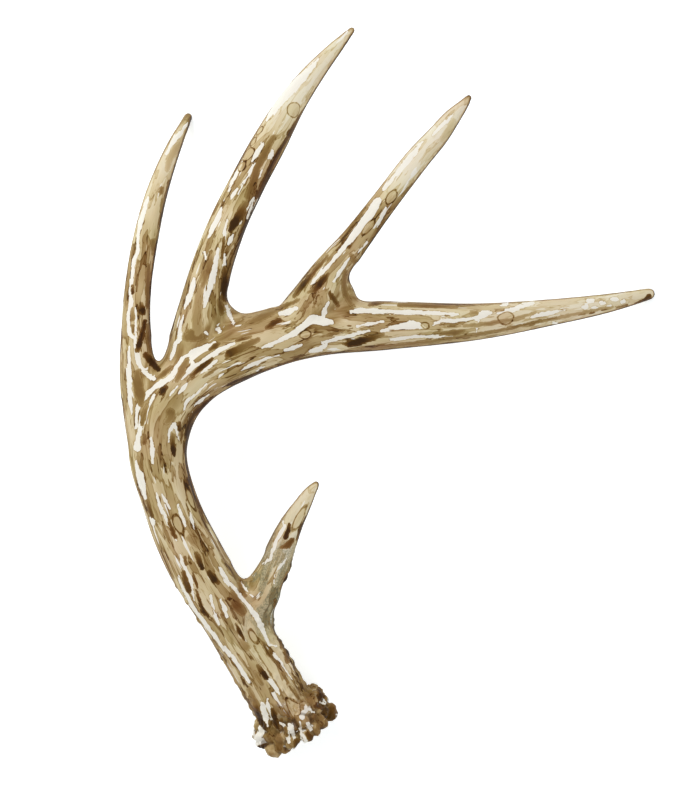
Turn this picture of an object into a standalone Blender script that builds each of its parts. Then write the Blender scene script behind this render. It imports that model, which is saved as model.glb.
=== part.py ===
"""A shed whitetail antler with five points, lying on its inner side.

The beam leaves its knobbly burr, arches off the surface and comes down again at its tip. Four
tines grow from it: the brow tine near the burr, then the second, third and fourth. It rests on
two knobs under the burr, on the tip of the second tine and on the tip of the beam.

It grew as one piece. It is parted here at its main forks, with a hairline gap at each cut.
Driving sizes are in millimetres, with +Z up and the origin on the surface, under the middle.
"""

import math
import random

import bmesh
import bpy
import numpy as np
from mathutils import Matrix, Vector, noise

MM = 0.001

# Stations along the middle of each limb, from root to tip: x, y, height above the surface and
# the limb's width as seen from above. A tine's root lies inside the beam.
BEAM = [
    (-61, -225.5, 28, 39),
    (-74, -203, 34, 40),
    (-99, -161, 46, 40),
    (-129, -112, 58, 40),
    (-146, -72, 67, 37),
    (-153.5, -36, 73, 39.5),
    (-144, -3, 77, 42),
    (-129, 13, 79, 43),
    (-106, 26, 79, 43),
    (-53, 41, 74, 37.5),
    (0, 44, 62, 32.5),
    (54, 46.5, 47, 25),
    (107, 53, 30, 18),
    (154, 61, 13, 11.5),
    (175.6, 66, 2.2, 7.4),
]
BROW_TINE = [
    (-95, -153, 47, 32),
    (-88, -139, 51, 28),
    (-81, -125, 55, 23.5),
    (-75, -112, 58, 20),
    (-70, -99, 61, 17.5),
    (-65, -88, 63, 15),
    (-58, -76, 65, 11.5),
    (-52, -66, 66, 7.5),
    (-48, -61, 66, 3.5),
]
SECOND_TINE = [
    (-156.5, -40, 73, 33),
    (-162, -10, 76, 30),
    (-165.5, 7, 77, 26),
    (-167, 22, 77, 23.5),
    (-168, 41, 75, 20),
    (-167, 68, 70, 18),
    (-163, 98, 59, 17),
    (-157, 126, 45, 15),
    (-149, 151, 31, 12),
    (-142, 169, 18, 9),
    (-136.5, 181, 6.5, 6),
    (-134.8, 185.2, 0.2, 5.2),
]
THIRD_TINE = [
    (-139, -2, 77, 37),
    (-130, 28, 80, 35),
    (-124.5, 49, 83, 34),
    (-121, 70, 84, 29),
    (-109, 107, 81, 25),
    (-94, 139, 74, 23.5),
    (-79, 167, 65, 22.5),
    (-63, 195, 54, 18.5),
    (-46, 218, 42, 13),
    (-34, 232, 34, 8.5),
    (-24.5, 242.6, 27, 3.5),
]
FOURTH_TINE = [
    (-62, 42, 74, 36),
    (-50, 60, 77, 32),
    (-38, 80.5, 78, 24),
    (-25, 97, 76, 20),
    (-4, 125, 71, 17),
    (19, 155, 64, 16.5),
    (33, 171, 59, 14.5),
    (43, 184, 54, 11),
    (50, 192, 51, 6.5),
    (53.5, 196.5, 49, 3.5),
]
LIMBS = {
    "beam": BEAM,
    "brow_tine": BROW_TINE,
    "second_tine": SECOND_TINE,
    "third_tine": THIRD_TINE,
    "fourth_tine": FOURTH_TINE,
}

# A limb is a little flatter than it is wide, and its end is a rounded nose.
FLATNESS = 0.93
RING_SPACING = 5
RING_SIDES = 28

# Long gutters run up each limb: their depth as a share of its radius, how fast they change
# round it and along it, and the share of a limb at its tip that is polished smooth.
GUTTER_DEPTH = 0.075
GUTTER_ROUND = 3.6
GUTTER_LENGTH = 55
POLISHED_SHARE = 0.35

# The burr: rows of knobs round the beam's root. Each row gives its place along the beam, the
# distance of its knobs from the beam's middle, their radius, their number and the part of the
# ring that they fill, in degrees from the side facing +X, over the top.
BURR_ROWS = [
    (1.5, 22.5, 5.8, 17, (0, 360)),
    (8, 23.5, 5.6, 18, (0, 360)),
    (15.5, 23, 4.6, 9, (-70, 80)),
    (14.5, 20.5, 3.6, 5, (100, 200)),
]
KNOB_JITTER = 1.4
# Two knobs under the burr carry it: angle round the ring, distance from its middle and radius.
FEET = [(-128, 27.2, 9.5), (-52, 27.5, 9.5)]
FOOT_PLACE = 7

# The face that broke from the skull is a shallow dome.
SEAL_RADIUS = 17
SEAL_BULGE = 6

# Small pearls of bone scatter above the burr, thickest on the side of the brow tine.
PEARL_COUNT = 46
PEARL_REACH = (18, 85)
PEARL_RADIUS = (1.5, 2.6)

# Where the antler is parted: a limb and the distance along it from its root. A cut reaches as
# far as 1.15 times the limb's width there, and leaves a hairline gap.
CUTS = [
    ("brow_tine", 47),
    ("second_tine", 84),
    ("third_tine", 92),
    ("fourth_tine", 54),
    ("beam", 196),
    ("beam", 398),
]
CUT_REACH = 1.15
CUT_GAP = 0.3

# A place inside each sub-part: a limb and the distance along it, and the sub-part's colour.
SUB_PARTS = {
    "lower_beam": ("beam", 60, (0.36, 0.25, 0.13, 1)),
    "middle_beam": ("beam", 300, (0.38, 0.27, 0.14, 1)),
    "upper_beam": ("beam", 480, (0.46, 0.36, 0.23, 1)),
    "brow_tine": ("brow_tine", 80, (0.44, 0.36, 0.24, 1)),
    "second_tine": ("second_tine", 150, (0.46, 0.35, 0.21, 1)),
    "third_tine": ("third_tine", 180, (0.48, 0.37, 0.23, 1)),
    "fourth_tine": ("fourth_tine", 120, (0.52, 0.42, 0.28, 1)),
}

# The crotches of the two wide forks are webbed with bone: x, y, height and radius.
WEBS = [(-108, 49, 79, 9.5), (-31.5, 65, 72, 10.5)]

# The skin is smoothed further about each fork: x, y, height and reach.
FORKS = [(-88, -123, 54, 20), (-152, 18, 78, 20), (-100, 52, 80, 20), (-25, 66, 71, 17)]
FORK_SMOOTHING = 40

SKIN_GRAIN = 1.4
SKIN_SMOOTHING = 3
SKIN_TRIANGLES = 8600
SEED = 5

BONE_ROUGHNESS = 0.55


def smooth_path(stations, spacing):
    """Rows of x, y, height and width along a smooth curve through the stations."""
    knots = np.array(stations, float)
    chords = np.linalg.norm(np.diff(knots[:, :3], axis=0), axis=1)
    places = np.concatenate([[0], np.cumsum(chords)])
    slopes = np.gradient(knots, places, axis=0)
    wanted = np.linspace(0, places[-1], round(places[-1] / spacing) + 1)
    before = np.clip(np.searchsorted(places, wanted, side="right") - 1, 0, len(knots) - 2)
    span = (places[before + 1] - places[before])[:, None]
    t = (wanted - places[before])[:, None] / span
    return (
        (2 * t**3 - 3 * t**2 + 1) * knots[before]
        + (t**3 - 2 * t**2 + t) * span * slopes[before]
        + (3 * t**2 - 2 * t**3) * knots[before + 1]
        + (t**3 - t**2) * span * slopes[before + 1]
    )


def frame_at(path, index):
    """The limb's frame there: X to its side, Y to its top and Z along it, in metres."""
    ahead = path[min(index + 1, len(path) - 1), :3]
    behind = path[max(index - 1, 0), :3]
    along = Vector(ahead - behind).normalized()
    side = along.cross(Vector((0, 0, 1))).normalized()
    top = side.cross(along)
    frame = Matrix((side, top, along)).transposed().to_4x4()
    frame.translation = Vector(path[index, :3]) * MM
    return frame


def frame_along(path, distance):
    """The limb's frame at a distance from its root, in millimetres, and its width there."""
    steps = np.linalg.norm(np.diff(path[:, :3], axis=0), axis=1)
    places = np.concatenate([[0], np.cumsum(steps)])
    index = int(np.argmin(abs(places - distance)))
    return frame_at(path, index), path[index, 3]


def gutter(angle, place, share, phase):
    """How far the surface stands from round, as a share of the limb's radius."""
    where = Vector((math.cos(angle), math.sin(angle), 0)) * GUTTER_ROUND
    where.z = place / GUTTER_LENGTH + phase
    polish = min(1, (1 - share) / POLISHED_SHARE)
    return GUTTER_DEPTH * polish * noise.noise(where)


def set_ring(verts, previous, frame, radius, relief):
    """Moves a ring of vertices from one frame to another, onto the limb's outline there."""
    for vert in verts:
        local = previous.inverted() @ vert.co
        angle = math.atan2(local.y / FLATNESS, local.x)
        reach = radius * (1 + relief(angle))
        outline = Vector((math.cos(angle), math.sin(angle) * FLATNESS, 0)) * reach
        vert.co = frame @ outline


def grow_limb(bm, stations, phase):
    """Adds one closed limb, extruded ring by ring from its root, and returns its path."""
    path = smooth_path(stations, RING_SPACING)
    frame = frame_at(path, 0)
    made = bmesh.ops.create_circle(
        bm, cap_ends=True, segments=RING_SIDES, radius=MM, matrix=frame
    )
    ring = made["verts"]
    edges = list({edge for vert in ring for edge in vert.link_edges})
    for index in range(len(path)):
        if index:
            made = bmesh.ops.extrude_edge_only(bm, edges=edges)["geom"]
            ring = [item for item in made if isinstance(item, bmesh.types.BMVert)]
            ends = set(ring)
            edges = [
                item
                for item in made
                if isinstance(item, bmesh.types.BMEdge) and ends.issuperset(item.verts)
            ]
        previous, frame = frame, frame_at(path, index)
        share = index / (len(path) - 1)

        def relief(angle, place=index * RING_SPACING, share=share):
            return gutter(angle, place, share, phase)

        set_ring(ring, previous, frame, path[index, 3] / 2 * MM, relief)
    bmesh.ops.contextual_create(bm, geom=edges)
    add_ball(bm, frame.translation, path[-1, 3] / 2 * 0.98)
    return path


def add_ball(bm, centre, radius, frame=None, squash=1):
    """Adds a knob: a ball of a radius in millimetres, squashed along its frame's Z."""
    turn = frame.to_3x3().to_4x4() if frame else Matrix.Identity(4)
    size = Matrix.Diagonal((1, 1, squash, 1))
    place = Matrix.Translation(centre) @ turn @ size
    bmesh.ops.create_icosphere(bm, subdivisions=2, radius=radius * MM, matrix=place)


def on_ring(path, place, angle, distance):
    """A point beside the limb: its place along it, the angle round it and the distance out."""
    frame, _ = frame_along(path, place)
    turn = math.radians(angle)
    return frame @ (Vector((math.cos(turn), math.sin(turn), 0)) * distance * MM)


def add_burr(bm, path, chance):
    """The coronet of knobs, the two that the antler stands on, and the broken-off face."""
    for place, distance, radius, count, (start, end) in BURR_ROWS:
        for index in range(count):
            angle = start + (end - start) * (index + chance.uniform(-0.25, 0.25)) / count
            centre = on_ring(
                path,
                place + chance.uniform(-KNOB_JITTER, KNOB_JITTER),
                angle,
                distance + chance.uniform(-KNOB_JITTER, KNOB_JITTER),
            )
            add_ball(bm, centre, radius * chance.uniform(0.8, 1.2))
    for angle, distance, radius in FEET:
        add_ball(bm, on_ring(path, FOOT_PLACE, angle, distance), radius)
    root = frame_at(path, 0)
    add_ball(bm, root.translation, SEAL_RADIUS, root, SEAL_BULGE / SEAL_RADIUS)


def add_pearls(bm, path, chance):
    for _ in range(PEARL_COUNT):
        near, far = PEARL_REACH
        place = near + (far - near) * chance.random() ** 1.7
        _, width = frame_along(path, place)
        angle = chance.gauss(10, 75)
        centre = on_ring(path, place, angle, width / 2 * 0.97)
        add_ball(bm, centre, chance.uniform(*PEARL_RADIUS))


def object_from(name, bm):
    mesh = bpy.data.meshes.new(name)
    bm.to_mesh(mesh)
    bm.free()
    part = bpy.data.objects.new(name, mesh)
    bpy.context.scene.collection.objects.link(part)
    return part


def with_modifier(part, kind, **settings):
    """The part's mesh as a modifier leaves it, as a bmesh."""
    modifier = part.modifiers.new(kind.title(), kind)
    for setting, value in settings.items():
        setattr(modifier, setting, value)
    graph = bpy.context.evaluated_depsgraph_get()
    bm = bmesh.new()
    bm.from_object(part, graph)
    bpy.data.objects.remove(part)
    return bm


def soften(bm):
    """Evens the skin all over, then fills the crotches by smoothing about each fork."""
    for _ in range(SKIN_SMOOTHING):
        bmesh.ops.smooth_vert(
            bm, verts=bm.verts, factor=0.5, use_axis_x=True, use_axis_y=True, use_axis_z=True
        )
    for x, y, height, reach in FORKS:
        middle = Vector((x, y, height)) * MM
        near = [vert for vert in bm.verts if (vert.co - middle).length < reach * MM]
        for _ in range(FORK_SMOOTHING):
            bmesh.ops.smooth_vert(
                bm, verts=near, factor=0.5, use_axis_x=True, use_axis_y=True, use_axis_z=True
            )


def fused_skin():
    """All limbs, knobs and pearls as one closed skin of few triangles."""
    chance = random.Random(SEED)
    bm = bmesh.new()
    paths = {
        name: grow_limb(bm, stations, phase * 7.3)
        for phase, (name, stations) in enumerate(LIMBS.items())
    }
    for x, y, height, radius in WEBS:
        add_ball(bm, Vector((x, y, height)) * MM, radius)
    add_burr(bm, paths["beam"], chance)
    add_pearls(bm, paths["beam"], chance)
    bmesh.ops.recalc_face_normals(bm, faces=bm.faces)
    loose = object_from("loose", bm)
    skin = with_modifier(loose, "REMESH", mode="VOXEL", voxel_size=SKIN_GRAIN * MM)
    soften(skin)
    bmesh.ops.triangulate(skin, faces=skin.faces)
    share = SKIN_TRIANGLES / len(skin.faces)
    return with_modifier(object_from("skin", skin), "DECIMATE", ratio=share), paths


def trim_at_surface(bm):
    """Wears what touches the surface flat, so that the antler rests on real faces."""
    everything = bm.verts[:] + bm.edges[:] + bm.faces[:]
    bmesh.ops.bisect_plane(
        bm, geom=everything, plane_co=(0, 0, 0), plane_no=(0, 0, -1), clear_outer=True
    )
    close_holes(bm)


def close_holes(bm):
    rims = [edge for edge in bm.edges if edge.is_boundary]
    bmesh.ops.holes_fill(bm, edges=rims, sides=0)


def cut_across(bm, frame, reach):
    """Parts the skin with two cuts a hair apart across one limb, and drops the sliver."""
    middle, along = frame.translation, frame.col[2].xyz
    half = CUT_GAP / 2 * MM
    for side in (-half, half):
        near = [face for face in bm.faces if (face.calc_center_median() - middle).length < reach]
        geometry = list({item for face in near for item in (*face.verts, *face.edges, face)})
        bmesh.ops.bisect_plane(
            bm, geom=geometry, plane_co=middle + along * side, plane_no=along
        )
    sliver = [
        face
        for face in bm.faces
        if abs((face.calc_center_median() - middle).dot(along)) < half
        and (face.calc_center_median() - middle).length < reach
    ]
    bmesh.ops.delete(bm, geom=sliver, context="FACES")


def island_of(bm, point):
    """The vertices joined to the one nearest a point."""
    seed = min(bm.verts, key=lambda vert: (vert.co - point).length_squared)
    found, front = {seed}, [seed]
    while front:
        vert = front.pop()
        for edge in vert.link_edges:
            other = edge.other_vert(vert)
            if other not in found:
                found.add(other)
                front.append(other)
    return found


def take_out(bm, point):
    """A copy of the island nearest a point, on its own."""
    copy = bm.copy()
    kept = island_of(copy, point)
    rest = [vert for vert in copy.verts if vert not in kept]
    bmesh.ops.delete(copy, geom=rest, context="VERTS")
    return copy


def bone(name, colour):
    """Antler bone: tan and satin, paler towards the tips."""
    material = bpy.data.materials.new(name)
    material.use_nodes = True
    shader = material.node_tree.nodes["Principled BSDF"]
    shader.inputs["Base Color"].default_value = colour
    shader.inputs["Roughness"].default_value = BONE_ROUGHNESS
    shader.inputs["Metallic"].default_value = 0
    return material


def build():
    for old in list(bpy.data.objects):
        bpy.data.objects.remove(old)
    skin, paths = fused_skin()
    trim_at_surface(skin)
    for limb, distance in CUTS:
        frame, width = frame_along(paths[limb], distance)
        cut_across(skin, frame, CUT_REACH * width * MM)
    close_holes(skin)
    for name, (limb, distance, colour) in SUB_PARTS.items():
        inside, _ = frame_along(paths[limb], distance)
        part = object_from(name, take_out(skin, inside.translation))
        part.data.materials.append(bone(f"{name}_bone", colour))
        part.data.shade_smooth()
    skin.free()


build()
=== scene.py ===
"""A shed whitetail antler with five points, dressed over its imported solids.

The limbs are grown from the stations that the solids use, fused into one fine skin, given their
wrinkles, pearls and crags, and parted at the same cuts. Places and sizes in the tables are in
millimetres. The skin carries its own grain coordinates, which follow each limb and flow through
the forks, so that washes, streaks and fibres run the way that the antler grew.
"""

import math
import random
from functools import partial

import bmesh
import bpy
import numpy as np
from mathutils import Matrix, Vector, kdtree, noise


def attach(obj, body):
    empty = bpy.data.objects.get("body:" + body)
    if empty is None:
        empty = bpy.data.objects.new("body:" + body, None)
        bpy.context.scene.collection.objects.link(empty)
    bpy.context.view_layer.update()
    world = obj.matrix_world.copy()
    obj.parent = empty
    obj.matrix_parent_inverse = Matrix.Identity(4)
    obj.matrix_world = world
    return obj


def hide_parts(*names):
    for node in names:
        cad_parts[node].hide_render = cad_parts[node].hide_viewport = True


bl_info = {
    "name": "Shed antler",
    "version": (1, 0, 0),
    "blender": (4, 5, 0),
    "location": "View3D > Sidebar > Antler",
    "description": "Grows a shed whitetail antler and lays it on pale paper",
    "category": "Object",
}

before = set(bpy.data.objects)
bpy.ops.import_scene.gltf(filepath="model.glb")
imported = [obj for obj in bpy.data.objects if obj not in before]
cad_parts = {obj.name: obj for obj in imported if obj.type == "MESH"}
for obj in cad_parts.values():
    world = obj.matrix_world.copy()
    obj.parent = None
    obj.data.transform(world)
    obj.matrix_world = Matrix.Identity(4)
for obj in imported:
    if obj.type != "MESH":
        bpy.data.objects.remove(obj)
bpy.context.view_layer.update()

MM = 0.001

# Stations along the middle of each limb, from root to tip: x, y, height above the surface and
# the limb's width as seen from above. A tine's root lies inside the beam.
BEAM = [
    (-61, -225.5, 28, 39),
    (-74, -203, 34, 40),
    (-99, -161, 46, 40),
    (-129, -112, 58, 40),
    (-146, -72, 67, 37),
    (-153.5, -36, 73, 39.5),
    (-144, -3, 77, 42),
    (-129, 13, 79, 43),
    (-106, 26, 79, 43),
    (-53, 41, 74, 37.5),
    (0, 44, 62, 32.5),
    (54, 46.5, 47, 25),
    (107, 53, 30, 18),
    (154, 61, 13, 11.5),
    (175.6, 66, 2.2, 7.4),
]
BROW_TINE = [
    (-95, -153, 47, 32),
    (-88, -139, 51, 28),
    (-81, -125, 55, 23.5),
    (-75, -112, 58, 20),
    (-70, -99, 61, 17.5),
    (-65, -88, 63, 15),
    (-58, -76, 65, 11.5),
    (-52, -66, 66, 7.5),
    (-48, -61, 66, 3.5),
]
SECOND_TINE = [
    (-156.5, -40, 73, 33),
    (-162, -10, 76, 30),
    (-165.5, 7, 77, 26),
    (-167, 22, 77, 23.5),
    (-168, 41, 75, 20),
    (-167, 68, 70, 18),
    (-163, 98, 59, 17),
    (-157, 126, 45, 15),
    (-149, 151, 31, 12),
    (-142, 169, 18, 9),
    (-136.5, 181, 6.5, 6),
    (-134.8, 185.2, 0.2, 5.2),
]
THIRD_TINE = [
    (-139, -2, 77, 37),
    (-130, 28, 80, 35),
    (-124.5, 49, 83, 34),
    (-121, 70, 84, 29),
    (-109, 107, 81, 25),
    (-94, 139, 74, 23.5),
    (-79, 167, 65, 22.5),
    (-63, 195, 54, 18.5),
    (-46, 218, 42, 13),
    (-34, 232, 34, 8.5),
    (-24.5, 242.6, 27, 3.5),
]
FOURTH_TINE = [
    (-62, 42, 74, 36),
    (-50, 60, 77, 32),
    (-38, 80.5, 78, 24),
    (-25, 97, 76, 20),
    (-4, 125, 71, 17),
    (19, 155, 64, 16.5),
    (33, 171, 59, 14.5),
    (43, 184, 54, 11),
    (50, 192, 51, 6.5),
    (53.5, 196.5, 49, 3.5),
]
LIMBS = {
    "beam": BEAM,
    "brow_tine": BROW_TINE,
    "second_tine": SECOND_TINE,
    "third_tine": THIRD_TINE,
    "fourth_tine": FOURTH_TINE,
}

# The main form, as the solids have it. A limb is less high than wide by this share, and gutters
# run along it: their depth as a share of its radius, how many stand round it and how long they
# are. They fade over the last part of its length, and each limb has its own.
FLATNESS = 0.93
RING_SPACING = 5
RING_SIDES = 28
GUTTER_DEPTH = 0.075
GUTTER_ROUND = 3.6
GUTTER_LENGTH = 55
POLISHED_SHARE = 0.35
PHASE_STEP = 7.3
TIP_SHARE = 0.98

# Rows of knobs round the burr: place along the beam, distance from its middle, radius, number
# and the part of the ring that they fill, in degrees from the side facing +X, over the top.
BURR_ROWS = [
    (1.5, 22.5, 5.8, 17, (0, 360)),
    (8, 23.5, 5.6, 18, (0, 360)),
    (15.5, 23, 4.6, 9, (-70, 80)),
    (14.5, 20.5, 3.6, 5, (100, 200)),
]
KNOB_JITTER = 1.4
KNOB_TURN = 0.25
KNOB_SIZES = (0.8, 1.2)
SEED = 5

# The two knobs that the antler stands on: the angle round the beam, the distance from its middle
# and the radius. Then their place along it, and the flat ball that makes the broken-off face.
FEET = [(-128, 27.2, 9.5), (-52, 27.5, 9.5)]
FOOT_PLACE = 7
SEAL_RADIUS = 17
SEAL_BULGE = 6

# Balls of bone that fill the corners of three forks: x, y, height and radius.
WEBS = [(-108, 49, 79, 9.5), (-31.5, 65, 72, 10.5), (-81, -153, 46, 6.5)]

# The skin is smoothed further about each fork: x, y, height and reach.
FORKS = [
    (-88, -123, 54, 20),
    (-80, -150, 46, 12),
    (-152, 18, 78, 20),
    (-100, 52, 80, 20),
    (-25, 68, 71, 20),
]

# How finely the main form is fused, and how often it, its forks and the fine skin are smoothed.
FORM_GRAIN = 1.4
FORM_SMOOTHING = 3
FORK_SMOOTHING = 60
SKIN_SMOOTHING = 4

# Smoothing takes this much from a limb whose radius is 1 mm, and less from a thicker one.
SHRUNK = 1.9

# Where the antler is parted: a limb and the distance along it from its root. A cut reaches this
# many times the limb's width from its middle, and its cap has more sides than any other face.
CUTS = [
    ("brow_tine", 47),
    ("second_tine", 84),
    ("third_tine", 92),
    ("fourth_tine", 54),
    ("beam", 196),
    ("beam", 398),
]
CUT_REACH = 1.15
MOST_SIDES = 8

# A place inside each sub-part: a limb and the distance along it.
BEAM_PARTS = {
    "lower_beam": ("beam", 60),
    "middle_beam": ("beam", 300),
    "upper_beam": ("beam", 480),
}
TINE_PARTS = {
    "brow_tine": ("brow_tine", 80),
    "second_tine": ("second_tine", 150),
    "third_tine": ("third_tine", 180),
    "fourth_tine": ("fourth_tine", 120),
}

# How far from each tip the bone starts to turn pale and polished, and where it is fully so.
PALE_TIPS = {
    "beam": (215, 30),
    "brow_tine": (88, 14),
    "second_tine": (115, 50),
    "third_tine": (125, 78),
    "fourth_tine": (112, 62),
}

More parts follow.
